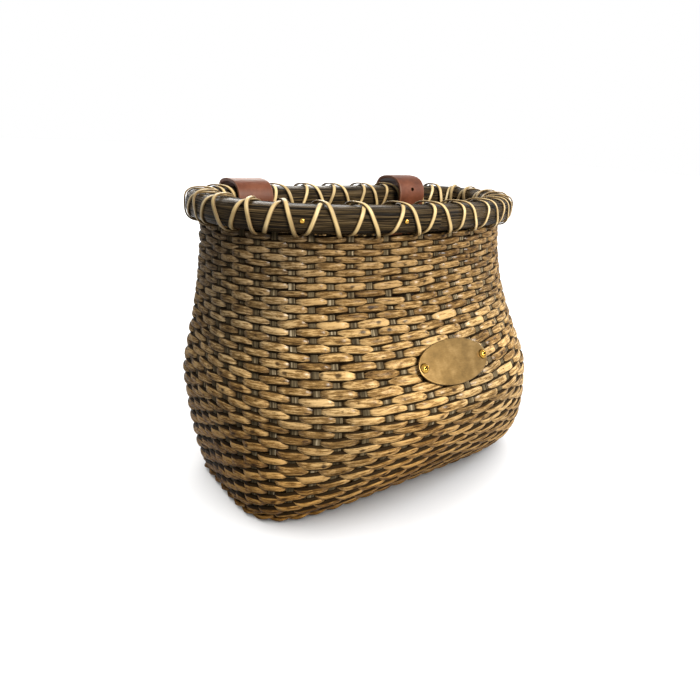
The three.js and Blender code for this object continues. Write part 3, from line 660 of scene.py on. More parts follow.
def swept(path, faces, across, thick):
    """Rings of a section carried along a path: across is square to the path and to the face direction."""
    ahead = unit(np.gradient(path, axis=0))
    faces = unit(faces - ahead * np.sum(faces * ahead, axis=1, keepdims=True))
    sideways = np.cross(ahead, faces)
    return (path[:, None] + sideways[:, None] * np.asarray(across)[..., None]
            + faces[:, None] * np.asarray(thick)[..., None])


def upwards(path):
    return np.broadcast_to((0.0, 0.0, 1.0), path.shape)


def spun(radius, along, sides, origin, axis, start):
    """A profile turned round an axis: radius along start and its square, moved along the axis."""
    origin, axis, start = (np.asarray(v, float) for v in (origin, axis, start))
    angle = circle(sides)
    other = np.cross(axis, start)
    spoke = np.cos(angle)[:, None] * start + np.sin(angle)[:, None] * other
    radius, along = np.asarray(radius, float), np.asarray(along, float)
    return origin + along[:, None, None] * axis + radius[:, None, None] * spoke


# Woven wall and base

WEAVER_ROWS = 38
FIRST_ROW_HEIGHT = 7.0
ROW_CROWDING = 0.176
FOOT_ROW_PITCH = 4.6
LEAST_HEIGHT = 0.15
WALL_TOP = 180.3
STAKE_PITCH = 12.4
WEAVE_DEPTH = -2.4
FLOATS = STAKES // 2
FLOAT_SIDES = 12
FLOAT_SQUARENESS = 2.5
FLOAT_ROUND = 11.0

# Along a float, as a share of the way from its middle to the next stake
FLOAT_PLACES = (0.25, 0.48, 0.64, 0.74, 0.80, 0.86, 0.93)
FLOAT_REACH = 0.71
DIVE = 5.5
TIP_START, TIP_RUN = 0.47, 0.31
HIDDEN_START, HIDDEN_RUN = 0.79, 0.07
SHARED_START, SHARED_RUN = 0.75, 0.25
INNER_START = 0.6
INNER_CROSSING = 1.34

# How a float narrows and widens, and what the lowest row adds to that and to its slant
TIP_NARROWING = 0.15
HIDDEN_WIDENING = 0.34
INNER_WIDENING = 0.42
# The painted shade band moves in towards a float's middle at its tips, so that the tips look rounded
PAINT_NARROWING = 0.28
SLANTED_ROWS = 16.0
LOW_SLANT = 0.20
LOW_TIP = 0.22
LOW_INNER_WIDENING = 0.40
LOW_PAINT_NARROWING = 0.20

# Paint of the strands
FLOAT_TONE = 0.60
FLOAT_TONE_SPREAD = 0.12
ROPE_TONE = 0.44
BASE_TONE = 0.46
INNER_SIDE = -0.1
KNOT_SHARE = 0.12
PAINT_WIDTH = 4.6
FAR_FROM_KNOT = 9.0

# How far the grain moves on from one strand to the next, along it and round it
STAKE_GRAIN = (230.0, 13.0)
ROW_GRAIN = (37.0, 12.0)
BASE_GRAIN = 300.0

# Added to the seed, so that each group has draws of its own
STAKE_SEED = 20
ROPE_SEED = 40
BASE_SEED = 60

STAKE_SIDES = 18
STAKE_SQUARENESS = 3.6
STAKE_HEIGHTS = np.concatenate([(0.3, 1.2, 2.4, 4.0, 6.5), np.linspace(10.0, 197.0, 58)])
STAKE_STEP = 3.2
STAKE_ROUND = 12.0
STAKE_OFFSET = 0.03
STAKE_WAVE = 0.04
STAKE_WAVE_LENGTH = 23.0
ROPE_STEPS = 8
ROPE_SIDES = 10
ROPE_HALF = (0.30, 1.3)
ROPE_ROW = -0.72
ROPE_RISE = 0.36
ROPE_OUT = -0.3
ROPE_SWING = 1.3
ROPE_ROUND = 9.0
ROPE_TONE_SPREAD = 0.10
FLOOR_GAP = 0.05
SPOKE_SIDES = 10
SPOKE_HALF = (2.4, 0.8)
BASE_WEAVER_SIDES = 8
BASE_WEAVER_HALF = (2.3, 0.75)
BASE_ROW_ENDS = (-64.5, 32.5)
BASE_SWING = 1.35
BASE_FLATNESS = 1.7
BASE_PITCH = 13.0
BASE_MIDDLE = 2.3
BASE_HALF = 116.0
BASE_SPOKES = 17
BASE_ROWS = 21
BASE_FRONT = {"spokes": 66.0, "weavers": 67.5}
BASE_BACK = 36.0


def row_height(row):
    """Height of a row. Rows crowd a little towards the top, and below the first they end on the floor."""
    climb = np.maximum(row, 0.0) / WEAVER_ROWS
    above = FIRST_ROW_HEIGHT + (WALL_TOP - FIRST_ROW_HEIGHT) * climb * (1.0 + ROW_CROWDING * (1.0 - climb))
    return np.maximum(above + np.minimum(row, 0.0) * FOOT_ROW_PITCH, LEAST_HEIGHT)


def eased(draw, count, spread, steps):
    """Smooth endless unevenness: draws at even places round a ring, joined by straight lines."""
    knots = draw.normal(0.0, spread, count)
    return np.interp(np.arange(steps) / steps * count, np.arange(count + 1), np.append(knots, knots[0]))


def weaver_row(weave, row, draw):
    """One row of weaving: a flat strand that passes every other stake outside and the rest inside.

    Its distance from the wall's middle is the hyperbolic tangent of a reach less the distance from the
    nearest float's centre, so that it runs flat over a stake and dives steeply behind the next. Its section
    is a superellipse that is wider on the inner side, which closes the gaps beside the stakes. Low rows
    slant like twined work. A draw for each float makes it uneven.
    """
    half = np.array(FLOAT_PLACES)
    places = np.concatenate([[-1.0], -half[::-1], [0.0], half])
    along = np.tile(places, FLOATS)
    distance = np.abs(along)
    float_number = np.repeat(np.arange(FLOATS), len(places))
    number = 2.0 * float_number + 0.5 + row % 2 + along
    steps = len(number)

    def each(mean, spread):
        return draw.normal(mean, spread, FLOATS)[float_number]

    flat = np.tanh(DIVE * (FLOAT_REACH - np.abs(along - each(0.0, 0.03) * (1.0 - distance))))
    low = max(1.0 - row / SLANTED_ROWS, 0.0)
    slant = LOW_SLANT * low + each(0.03, 0.05)
    crown = np.cos(np.pi * along / 2.0)
    lift = eased(draw, 17, 0.05, steps) + each(0.0, 0.055) * crown + slant * np.sin(np.pi * along)
    sooner = LOW_TIP * low
    tip = np.clip((distance - TIP_START + sooner) / (TIP_RUN + sooner), 0.0, 1.0) ** 2
    hidden = np.clip((distance - HIDDEN_START) / HIDDEN_RUN, 0.0, 1.0)
    size = weave.float_share * each(1.0, 0.08) * (1.0 - TIP_NARROWING * tip + HIDDEN_WIDENING * hidden)
    out = WEAVE_DEPTH + weave.sway / MM * flat + each(0.0, 0.11) * crown
    thick, plain = oval(FLOAT_SIDES, 0.5, 0.5, FLOAT_SQUARENESS)
    widening = INNER_WIDENING + LOW_INNER_WIDENING * low
    up = plain * (1.0 + widening * np.clip(0.3 - 4.0 * thick, 0.0, 1.0))
    height = row_height((row + lift)[:, None] + up * size[:, None])
    rings = wall_points(height, stake_share(number)[:, None],
                        out[:, None] + thick * weave.float_thickness / MM)

    # Paint: a tone that neighbouring floats share behind the stakes, and places for marks and for painted
    # shade in the gaps and crossings
    tone = FLOAT_TONE + eased(draw, 9, 0.06, steps)
    shade = draw.normal(0.0, FLOAT_TONE_SPREAD, FLOATS)
    beside = shade[(float_number + np.sign(along).astype(int)) % FLOATS]
    shared = np.clip((distance - SHARED_START) / SHARED_RUN, 0.0, 1.0) / 2.0
    tone = tone + shade[float_number] * (1.0 - shared) + beside * shared
    knot = (draw.random(FLOATS) < KNOT_SHARE)[float_number] * 1.0
    distance = distance[:, None]
    narrowed = up / (1.0 - (PAINT_NARROWING + LOW_PAINT_NARROWING * low) * tip)[:, None]
    inner = (thick < INNER_SIDE) & (distance > INNER_START)
    return rings, number * STAKE_PITCH, {
        "tone": tone[:, None], "knot": knot[:, None],
        "along": (along * STAKE_PITCH + each(0.0, 3.0))[:, None],
        "across": PAINT_WIDTH * np.where(inner, plain, narrowed),
        "crossing": np.where(thick > INNER_SIDE, distance, INNER_CROSSING - distance),
    }


def stakes(weave, skin):
    """Flat stakes from the foot to the rim's top: a strip with soft ribs carried up the wall's middle."""
    draw = np.random.default_rng(weave.seed + STAKE_SEED)
    height = STAKE_HEIGHTS
    across, thick = oval(STAKE_SIDES, 0.5, 0.5, STAKE_SQUARENESS)
    thick = thick * (0.86 + 0.14 * np.cos(6.0 * np.pi * across))
    lengths = np.arange(len(height)) * STAKE_STEP
    around = np.linspace(0.0, STAKE_ROUND, STAKE_SIDES + 1)
    width_share = weave.stake_width / MM / STAKE_PITCH / STAKES
    for number in range(STAKES):
        offset = draw.normal(0.0, STAKE_OFFSET)
        wave = STAKE_WAVE * np.sin(height / STAKE_WAVE_LENGTH + draw.uniform(0.0, 6.3))
        share = stake_share(number + 0.5 + (offset + wave))[:, None] + across * width_share
        rings = wall_points(height[:, None], share, WEAVE_DEPTH + thick * weave.stake_thickness / MM)
        skin.tube(rings, lengths=lengths + STAKE_GRAIN[0] * number,
                  round_lengths=around + STAKE_GRAIN[1] * number)


def strand_paint(tone, across, crossing):
    """Values of a strand without knots, as float_material reads them."""
    return {"tone": tone[:, None], "knot": np.zeros((1, 1)), "along": np.full((1, 1), FAR_FROM_KNOT),
            "across": across, "crossing": crossing[:, None]}


def foot_rope(weave, skin):
    """Two strands twined round each other along the foot, half a twist to a stake."""
    draw = np.random.default_rng(weave.seed + ROPE_SEED)
    number = np.arange(STAKES * ROPE_STEPS) / ROPE_STEPS
    up, thick = oval(ROPE_SIDES, *ROPE_HALF, 2.3)
    for strand in range(2):
        angle = np.pi * (number + strand)
        row = ROPE_ROW + ROPE_RISE * np.sin(angle)
        out = ROPE_OUT + ROPE_SWING * np.cos(angle)
        height = row_height(row[:, None] + up)
        rings = wall_points(height, stake_share(number)[:, None], out[:, None] + thick)
        rings[..., 2] = np.maximum(rings[..., 2], FLOOR_GAP)
        float_number = np.floor((number + strand) / 2.0).astype(int)
        tone = ROPE_TONE + draw.normal(0.0, ROPE_TONE_SPREAD, float_number.max() + 1)[float_number]
        # The crossing value is high where a strand passes inside, and float_material paints shade there
        skin.tube(rings, closed=True, lengths=number * STAKE_PITCH,
                  round_lengths=np.linspace(0.0, ROPE_ROUND, ROPE_SIDES + 1),
                  values=strand_paint(tone, up * 6.0, 0.5 - 0.45 * np.cos(angle)))


def superellipse(value, half, reach, square):
    """Reach of a superellipse at a place along its other half axis, 0 past its end."""
    return reach * np.clip(1.0 - np.abs(value / half) ** square, 0.0, 1.0) ** (1.0 / square)


def base_mat(weave, spokes, weavers):
    """Woven bottom: flat spokes across it, and weavers along it that pass over one and under one."""
    draw = np.random.default_rng(weave.seed + BASE_SEED)
    front_square = FRONT_SQUARENESS["foot"]
    across, thick = oval(SPOKE_SIDES, *SPOKE_HALF, STAKE_SQUARENESS)
    for x in (np.arange(BASE_SPOKES) - BASE_SPOKES // 2) * BASE_PITCH:
        y = np.linspace(-superellipse(x, BASE_HALF, BASE_FRONT["spokes"], front_square),
                        superellipse(x, BASE_HALF, BASE_BACK, BACK_SQUARENESS), 24)
        path = np.stack([np.full_like(y, x), y, np.full_like(y, BASE_MIDDLE)], axis=1)
        spokes.tube(swept(path, upwards(path), across, thick), lengths=y + 90.0 + x,
                    round_lengths=np.linspace(0.0, STAKE_ROUND, SPOKE_SIDES + 1) + x)
    side, up = oval(BASE_WEAVER_SIDES, *BASE_WEAVER_HALF, 2.6)
    for k, y in enumerate(np.linspace(*BASE_ROW_ENDS, BASE_ROWS)):
        deep, square = (BASE_FRONT["weavers"], front_square) if y < 0 else (BASE_BACK, BACK_SQUARENESS)
        reach = superellipse(y, deep, BASE_HALF, square)
        x = np.arange(-reach, reach, BASE_PITCH / 6)
        phase = x / BASE_PITCH + k
        swing = np.tanh(BASE_FLATNESS * np.cos(np.pi * phase)) / np.tanh(BASE_FLATNESS)
        path = np.stack([x, np.full_like(x, y), BASE_MIDDLE + BASE_SWING * swing], axis=1)
        float_number = np.floor((phase - phase[0] + 1.0) / 2.0).astype(int)
        tone = BASE_TONE + draw.normal(0.0, FLOAT_TONE_SPREAD, float_number.max() + 1)[float_number]
        # The crossing value is high where a weaver passes under, and float_material paints shade there
        weavers.tube(swept(path, upwards(path), side, up), lengths=x + 130.0 + BASE_GRAIN * k,
                     round_lengths=np.linspace(0.0, FLOAT_ROUND, BASE_WEAVER_SIDES + 1),
                     values=strand_paint(tone, side, 0.5 - 0.4 * swing))


class BASKET_OT_weave(bpy.types.Operator):
    """Weave the wall and the base"""

    bl_idname = "basket.weave"
    bl_label = "Weave the wall and base"

    def execute(self, context):
        weave = context.scene.basket.weave
        rattan = float_material(weave)
        cane = stake_material(weave)
        upright = Skin()
        stakes(weave, upright)
        upright.object("wall_stakes", cane, "rattan", ROOT, ["woven_wall"])
        draw = np.random.default_rng(weave.seed)
        for first, name in enumerate(("even_wall_rows", "odd_wall_rows")):
            skin = Skin()
            for row in range(first, WEAVER_ROWS + 1, 2):
                rings, lengths, values = weaver_row(weave, row, draw)
                around = np.linspace(0.0, FLOAT_ROUND, FLOAT_SIDES + 1)
                skin.tube(rings, closed=True, lengths=lengths + ROW_GRAIN[0] * row,
                          round_lengths=around + ROW_GRAIN[1] * row, values=values)
            skin.object(name, rattan, "rattan", ROOT)
        rope = Skin()
        foot_rope(weave, rope)
        rope.object("foot_rope", rattan, "rattan", ROOT)
        spokes, weavers = Skin(), Skin()
        base_mat(weave, spokes, weavers)
        spokes.object("base_spokes", cane, "rattan", ROOT, ["woven_base"])
        weavers.object("base_weavers", rattan, "rattan", ROOT)
        return {"FINISHED"}


# Rim

HOOP_STEPS = 312
HOOP_SIDES = 22
HOOP_RUN = 640.0
HOOP_ROUND = 60.0
HOOP_WAVES = ((0.18, 7.0, 0.0), (0.14, 17.0, 1.3))
FILLER_SIDES = 10
FILLER_HALF = 1.3
LASH_STEPS = 40
LASH_SIDES = 12
LASH_SEAT = 0.12
LASH_CROSSING = 0.15
LASH_DRIFT = 0.13


def hoop(side):
    """A split pole: an arc of the rim's superellipse closed by a flat face, with slow waves along it."""
    flat = WALL_THICKNESS / 2 + SEAT_GAP
    start = np.arccos((flat / RIM_HALF_DEPTH) ** (HOOP_SQUARENESS / 2.0))
    angle = np.linspace(-start, start, HOOP_SIDES)
    out, rise = rim_section(angle, 0.0)
    share = np.arange(HOOP_STEPS) / HOOP_STEPS
    wave = sum(size * np.sin(2.0 * np.pi * count * share + start) for size, count, start in HOOP_WAVES)
    grown = side * (out + wave[:, None] * np.clip(np.cos(angle), 0.0, 1.0))
    rings = rim_points(share[:, None], grown, rise)
    around = np.append(np.cumsum(np.hypot(np.gradient(out), np.gradient(rise))), HOOP_ROUND)
    return rings, share * HOOP_RUN, around


def filler():
    """The thin cane in the groove between the hoops: a low rounded strip."""
    share = np.arange(HOOP_STEPS) / HOOP_STEPS
    out, rise = oval(FILLER_SIDES, WALL_THICKNESS / 2, FILLER_HALF, 2.4)
    rings = rim_points(share[:, None], out, HOOP_HEIGHT / 2 - FILLER_HALF + rise)
    return rings, share * HOOP_RUN, np.linspace(0.0, 12.0, FILLER_SIDES + 1)


def lashing(rim, direction, seed):
    """A flat strip wound round the rim, two stakes to a turn, on the superellipse grown by its thickness.

    It goes round the section by arc length, so that it runs straight across the faces of the hoops. One
    strip climbs the outer face and the other comes down it. The second lies over the first where they cross,
    on top, underneath and inside. Each crossing is drawn a little off its even place.
    """
    draw = np.random.default_rng(seed)
    width, thickness = rim.lash_width / MM, rim.lash_thickness / MM
    loops = STAKES // 2
    turn = np.arange(2, loops * LASH_STEPS - 1) / LASH_STEPS
    fine = np.linspace(-np.pi / 2, 1.5 * np.pi, 721)
    length = running_length(np.stack(rim_section(fine, 0.6), axis=1))
    angle = np.interp(turn % 1.0, length / length[-1], fine) + 2.0 * np.pi * np.floor(turn)
    angle = angle if direction > 0 else -np.pi - angle
    outside = np.clip(np.cos(angle), 0.0, 1.0)
    over = (thickness + LASH_CROSSING) * (1.0 - outside ** 4) if direction < 0 else 0.0
    places = np.arange(2 * loops + 2) / 2.0
    drift = np.interp(turn, places, draw.normal(0.0, LASH_DRIFT, len(places)))
    share = stake_share(1.0 + 2.0 * turn + drift)
    grow = thickness / 2.0 + LASH_SEAT + over
    path = rim_points(share, *rim_section(angle, grow))
    after, before = rim_section(angle + 0.01, grow), rim_section(angle - 0.01, grow)
    radial = wall_points(RIM_HEIGHT, share, 1.0) - wall_points(RIM_HEIGHT, share, 0.0)
    faces = radial * (after[1] - before[1])[:, None] - upwards(path) * (after[0] - before[0])[:, None]
    across, thick = oval(LASH_SIDES, width / 2.0, thickness / 2.0, 3.0)
    edge = np.abs(across) / across.max()
    return swept(path, faces, across, thick), running_length(path), edge[None]


class BASKET_OT_rim(bpy.types.Operator):
    """Bend the hoops and wind the lashing"""

    bl_idname = "basket.rim"
    bl_label = "Build the laced rim"

    def execute(self, context):
        rim = context.scene.basket.rim
        pole = pole_material(rim)
        for name, node, (rings, lengths, around) in (
                ("outer_hoop_pole", "rim_outer_hoop", hoop(1.0)),
                ("inner_hoop_pole", "rim_inner_hoop", hoop(-1.0)),
                ("groove_cane", "rim_filler", filler())):
            tube_piece(name, rings, pole, "pole", ROOT, node, closed=True, lengths=lengths,
                       round_lengths=around)
        cane = cane_material(rim)
        for direction, name, seed in ((1.0, "forward", 3), (-1.0, "return", 5)):
            rings, lengths, edge = lashing(rim, direction, seed)
            tube_piece(f"{name}_lashing_strip", rings, cane, "cane", ROOT, f"lashing_{name}",
                       lengths=lengths, round_lengths=np.linspace(0.0, 8.0, LASH_SIDES + 1),
                       values={"edge": edge})
        return {"FINISHED"}


# Straps and buckles

BUCKLE_ROUGHNESS = 0.30
STRAP_HALF_WIDTH = 12.7
STRAP_STANDOFF = 2.2
BUCKLE_HEIGHT = 141.0
BUCKLE_TILT = np.radians(10.0)
FRAME_LENGTH = 18.0
WIRE_RADIUS = 1.5
FRAME_CORNER = 3.0
ROLLER_RADIUS = 3.0
PRONG_RADIUS = 1.1
FOLD_LENGTH = 21.0
RIVET_DROP = 14.5
RIVET_HEAD = 3.5
RIVET_RISE = 1.2
KEEPER_DROP = 41.0
KEEPER_HEIGHT = 8.0
KEEPER_HALF = 0.5
FREE_GAP = 0.6
TIP_LENGTH = 7.0
SLOT_HEIGHT = 90.0
BAR_RADIUS = 15.0
HOLE_RADIUS = 1.5
HOLE_PITCH = 19.05
HOLE_COUNT = 3
SPARE_HOLES = {"left": 2, "right": 3}
ROUTE_STEPS = 6
STRAP_SIDES = 24
PUNCH_SIDES = 24
KEEPER_STEPS = 72
KEEPER_SIDES = 12
WIRE_SIDES = 14
CORNER_STEPS = 7
ROLLER_SIDES = 32
PRONG_SIDES = 12
RIVET_SIDES = 28
PUNCH_DEPTH = 3.2
PRONG_SLOT = 9.2
FRAME_SIDE_GAP = 1.0
RIVET_RADIUS = 1.5
RIVET_FOOT = 1.0
RIVET_FOOT_EDGE = 0.2
PRONG_RING = WIRE_RADIUS + SEAT_GAP + PRONG_RADIUS
PRONG_REST = ROLLER_RADIUS + SEAT_GAP + PRONG_RADIUS
ACROSS = np.array((1.0, 0.0, 0.0))


def back_face(height, aside):
    """Outer face of the back wall at a height and a distance from the middle plane."""
    side, _, back, _ = levels(height)
    return back * (1.0 - np.abs(aside / side) ** BACK_SQUARENESS) ** (1.0 / BACK_SQUARENESS)


class StrapPlan:
    """Places on one strap in its own plane: y towards the back, z up."""

    def __init__(self, side, settings):
        self.centre = STRAP_CENTRES[side]
        self.lift = ARCH_LIFTS[side]
        self.spare_holes = SPARE_HOLES[side]
        self.width = settings.width / MM
        self.thickness = settings.thickness / MM
        self.half = self.thickness / 2.0
        self.edge = abs(self.centre) + STRAP_HALF_WIDTH
        self.fold_radius = WIRE_RADIUS + 2.0 * SEAT_GAP + self.half
        self.heel = np.array((self.layer(BUCKLE_HEIGHT) - self.fold_radius, BUCKLE_HEIGHT))

    def layer(self, height):
        return back_face(height, self.edge) - WALL_THICKNESS - STRAP_STANDOFF - self.half

    def on_frame(self, along, out):
        """A place on the tilted buckle: along from its heel bar, and out of its front."""
        up = np.array((-np.sin(BUCKLE_TILT), np.cos(BUCKLE_TILT)))
        front = np.array((-np.cos(BUCKLE_TILT), -np.sin(BUCKLE_TILT)))
        return self.heel + np.multiply.outer(along, up) + np.multiply.outer(out, front)

    def lean(self, height):
        return np.arctan2(self.layer(height - 1.0) - self.layer(height + 1.0), 2.0)

    def route(self):
        """Middle line of the strap: fold, heel bar, slot, bar space, rim, roller, fold, keeper and tip."""
        thickness = self.thickness
        doubled = thickness + 2.0 * SEAT_GAP
        fold_end = BUCKLE_HEIGHT - FOLD_LENGTH
        rivet = BUCKLE_HEIGHT - RIVET_DROP
        fold_top = rivet + RIVET_HEAD + SEAT_GAP
        slot_middle = back_face(SLOT_HEIGHT, self.centre) - WALL_THICKNESS / 2.0
        turn_radius = slot_middle - self.layer(SLOT_HEIGHT)
        half_way = (SLOT_HEIGHT + fold_end) / 2.0
        bar_height = RIM_HEIGHT - HOOP_HEIGHT - LASH_REACH - BAR_RADIUS - thickness
        bar_y = back_face(bar_height, self.centre) + STRAP_STANDOFF + BAR_RADIUS
        bar_turn = BAR_RADIUS + SEAT_GAP + self.half
        rim_out = back_face(RIM_HEIGHT, self.edge - 2.0 * STRAP_HALF_WIDTH) - WALL_THICKNESS / 2.0
        rim_in = back_face(RIM_HEIGHT, self.edge + RIM_HALF_DEPTH / 2.0) - WALL_THICKNESS / 2.0
        over_fold = self.fold_radius + thickness + 2.0 * SEAT_GAP
        rivet_face = self.layer(rivet) - doubled - thickness - RIVET_RISE - 3.0 * SEAT_GAP
        keeper_low = BUCKLE_HEIGHT - KEEPER_DROP
        keeper_top = keeper_low + KEEPER_HEIGHT
        free_run = thickness + FREE_GAP
        above_keeper = keeper_top + KEEPER_HEIGHT / 2.0
        tip = keeper_low - TIP_LENGTH

        def turned(centre, radius, degrees):
            angle = np.radians(degrees)
            return np.stack([centre[0] + radius * np.cos(angle), centre[1] + radius * np.sin(angle)], axis=1)

        arch = np.radians((25.0, 50.0, 75.0, 100.0, 125.0, 150.0, 180.0))
        out, rise = rim_section(arch, LASH_REACH + 2.0 * SEAT_GAP + self.half)
        arch_y = rim_out + (rim_in - rim_out) * (0.5 - 0.5 * np.cos(arch)) + out
        arch_z = RIM_MIDDLE + rise + self.lift * np.clip(np.sin(arch), 0.0, 1.0)
        over = np.radians((40.0, 70.0, 100.0))
        return np.concatenate([
            [(self.layer(fold_end) - doubled, fold_end), (self.layer(rivet) - doubled, rivet),
             (self.layer(fold_top) - doubled, fold_top),
             (self.heel[0] - 0.8 * self.fold_radius, BUCKLE_HEIGHT - 0.9 * self.fold_radius)],
            turned(self.heel, self.fold_radius, (180.0, 135.0, 90.0, 45.0, 0.0)),
            [(self.layer(rivet), rivet), (self.layer(half_way), half_way)],
            turned((slot_middle, SLOT_HEIGHT), turn_radius, (180.0, 225.0, 270.0, 315.0, 360.0)),
            turned((bar_y, bar_height), bar_turn, (-35.0, 0.0, 35.0)),
            np.stack([arch_y, arch_z], axis=1),
            [self.on_frame(FRAME_LENGTH, -ROLLER_RADIUS - 2.5 * SEAT_GAP - self.half)],
            self.on_frame(over_fold * np.cos(over), over_fold * np.sin(over)),
            [(rivet_face, rivet + RIVET_HEAD), (rivet_face, rivet - RIVET_HEAD),
             (self.layer(above_keeper) - free_run - SEAT_GAP, above_keeper),
             (self.layer(keeper_top) - free_run, keeper_top),
             (self.layer(keeper_low) - free_run, keeper_low),
             (self.layer(tip) - free_run - SEAT_GAP, tip)],
        ])


def smooth_route(points, steps):
    """Catmull-Rom curve through points, with knots spaced by the root of their distance."""
    padded = np.concatenate([[2 * points[0] - points[1]], points, [2 * points[-1] - points[-2]]])
    knots = np.sqrt(np.linalg.norm(np.diff(padded, axis=0), axis=1))[:, None]
    p0, p1, p2, p3 = padded[:-3], padded[1:-2], padded[2:-1], padded[3:]
    d0, d1, d2 = knots[:-2], knots[1:-1], knots[2:]
    start = ((p1 - p0) / d0 - (p2 - p0) / (d0 + d1) + (p2 - p1) / d1) * d1
    end = ((p2 - p1) / d1 - (p3 - p1) / (d1 + d2) + (p3 - p2) / d2) * d1
    t = (np.arange(steps) / steps)[:, None, None]
    curve = (p1 * (2 * t ** 3 - 3 * t ** 2 + 1) + start * (t ** 3 - 2 * t ** 2 + t)
             + p2 * (3 * t ** 2 - 2 * t ** 3) + end * (t ** 3 - t ** 2))
    return np.concatenate([curve.transpose(1, 0, 2).reshape(-1, 2), points[-1:]])


def in_space(plane, x):
    """Places in a strap's plane as points in space."""
    return np.stack([np.full(len(plane), x), plane[:, 0], plane[:, 1]], axis=1)


def punched(strap, punches):
    """Cuts the strap with one mesh of punches and keeps the result as its mesh."""
    cutter = punches.object("strap_punches", strap.data.materials[0], "leather", ROOT)
    cut = strap.modifiers.new("punch", "BOOLEAN")
    cut.operation = "DIFFERENCE"
    cut.solver = "EXACT"
    cut.use_self = True
    cut.object = cutter
    evaluated = strap.evaluated_get(bpy.context.evaluated_depsgraph_get())
    mesh = bpy.data.meshes.new_from_object(evaluated)
    if len(mesh.polygons) in (0, len(strap.data.polygons)):
        raise RuntimeError(f"{strap.name}: the punches cut nothing")
    mesh.set_sharp_from_angle(angle=np.radians(35.0))
    strap.modifiers.clear()
    strap.data = mesh
    bpy.data.objects.remove(cutter)


def strap_band(plan):
    """Rings of the strap, a rectangle with rounded edges carried along its route, and the route itself."""
    path = in_space(smooth_route(plan.route(), ROUTE_STEPS), plan.centre)
    faces = np.cross(np.gradient(path, axis=0), ACROSS)
    across, thick = oval(STRAP_SIDES, plan.width / 2.0, plan.half, 9.0)
    return swept(path, faces, across, thick), path


def punch_places(plan, path):
    """Numbers of the path's points at the prong's hole and at the adjusting holes on both sides of it."""
    run = running_length(path)
    offset = path[:, 1:] - plan.heel
    along = offset @ (plan.on_frame(1.0, 0.0) - plan.heel)
    out = offset @ (plan.on_frame(0.0, 1.0) - plan.heel)
    prong_out = PRONG_RING + (PRONG_REST - PRONG_RING) * along / FRAME_LENGTH
    later = np.arange(len(path)) > len(path) / 2
    met = later & (along < FRAME_LENGTH) & (out > prong_out)
    crossing = int(np.argmax(met))
    steps = np.arange(-plan.spare_holes, HOLE_COUNT - plan.spare_holes + 1)
    holes = np.searchsorted(run, run[crossing] + HOLE_PITCH * steps[steps != 0])
    return crossing, holes


def punch(skin, path, number, radius, stretch):
    """A rounded oblong prism square to the strap at a point of its path."""
    ahead = unit(path[number + 1] - path[number - 1])
    angle = circle(PUNCH_SIDES)
    along = radius * np.sin(angle) + np.sign(np.sin(angle)) * stretch / 2.0
    outline = (path[number] + np.multiply.outer(radius * np.cos(angle), ACROSS)
               + np.multiply.outer(along, ahead))
    depth = np.array((-PUNCH_DEPTH, PUNCH_DEPTH))[:, None, None]
    skin.tube(outline + depth * np.cross(ahead, ACROSS))


def fold_slot(skin, plan):
    """A box through the strap's fold, in which the prong's ring turns."""
    near = WIRE_RADIUS + 3.0 * SEAT_GAP + 2.0 * PRONG_RADIUS
    far = plan.fold_radius + plan.thickness
    corner_y = plan.heel[0] + np.array((-near, far, far, -near))
    corner_z = plan.heel[1] + np.array((-near, -near, far, far))
    half = PRONG_RADIUS + SEAT_GAP
    skin.tube(np.stack([np.stack([np.full(4, plan.centre + side * half), corner_y, corner_z], axis=1)
                        for side in (-1.0, 1.0)]))


def keeper_band(plan):
    """A leather loop round both runs of the strap: a rounded strip carried round a rounded rectangle."""
    middle = BUCKLE_HEIGHT - KEEPER_DROP + KEEPER_HEIGHT / 2.0
    back = plan.half + SEAT_GAP + KEEPER_HALF
    front = -plan.half - plan.thickness - FREE_GAP - SEAT_GAP - KEEPER_HALF
    wide = plan.width / 2.0 + SEAT_GAP + KEEPER_HALF
    angle = circle(KEEPER_STEPS)
    x = wide * signed_power(np.cos(angle), 0.16)
    y = (back + front) / 2.0 + (back - front) / 2.0 * signed_power(np.sin(angle), 0.3)
    loop = np.stack([x, y, np.zeros_like(x)], axis=1)
    ahead = np.roll(loop, -1, axis=0) - np.roll(loop, 1, axis=0)
    outward = unit(np.cross(ahead, upwards(loop)))
    up, thick = oval(KEEPER_SIDES, KEEPER_HEIGHT / 2.0, KEEPER_HALF, 5.0)
    rings = loop[:, None] + outward[:, None] * thick[:, None] + upwards(loop)[:, None] * up[:, None]
    lean = plan.lean(middle)
    turn = np.array(((1, 0, 0), (0, np.cos(lean), -np.sin(lean)), (0, np.sin(lean), np.cos(lean))))
    return rings @ turn.T + np.array((plan.centre, plan.layer(middle), middle))


def frame_wire(plan):
    """The buckle's frame: a round wire carried round a rectangle with rounded corners."""
    half = plan.width / 2.0 + FRAME_SIDE_GAP + WIRE_RADIUS - FRAME_CORNER
    low, high = FRAME_CORNER, FRAME_LENGTH - FRAME_CORNER
    quarter = np.linspace(0.0, np.pi / 2, CORNER_STEPS)
    starts = np.array((np.pi, 1.5 * np.pi, 0.0, np.pi / 2))[:, None]
    angle = (starts + quarter).ravel()
    x = np.repeat((-half, half, half, -half), CORNER_STEPS) + FRAME_CORNER * np.cos(angle)
    along = np.repeat((low, low, high, high), CORNER_STEPS) + FRAME_CORNER * np.sin(angle)
    place = plan.on_frame(along, 0.0)
    path = np.stack([x + plan.centre, place[:, 0], place[:, 1]], axis=1)
    ahead = np.roll(path, -1, axis=0) - np.roll(path, 1, axis=0)
    normal = np.array((0.0, *(plan.on_frame(0.0, 1.0) - plan.heel)))
    aside = unit(np.cross(ahead, normal))
    angle = circle(WIRE_SIDES)[:, None]
    return path[:, None] + WIRE_RADIUS * (np.cos(angle) * aside[:, None] + np.sin(angle) * normal)


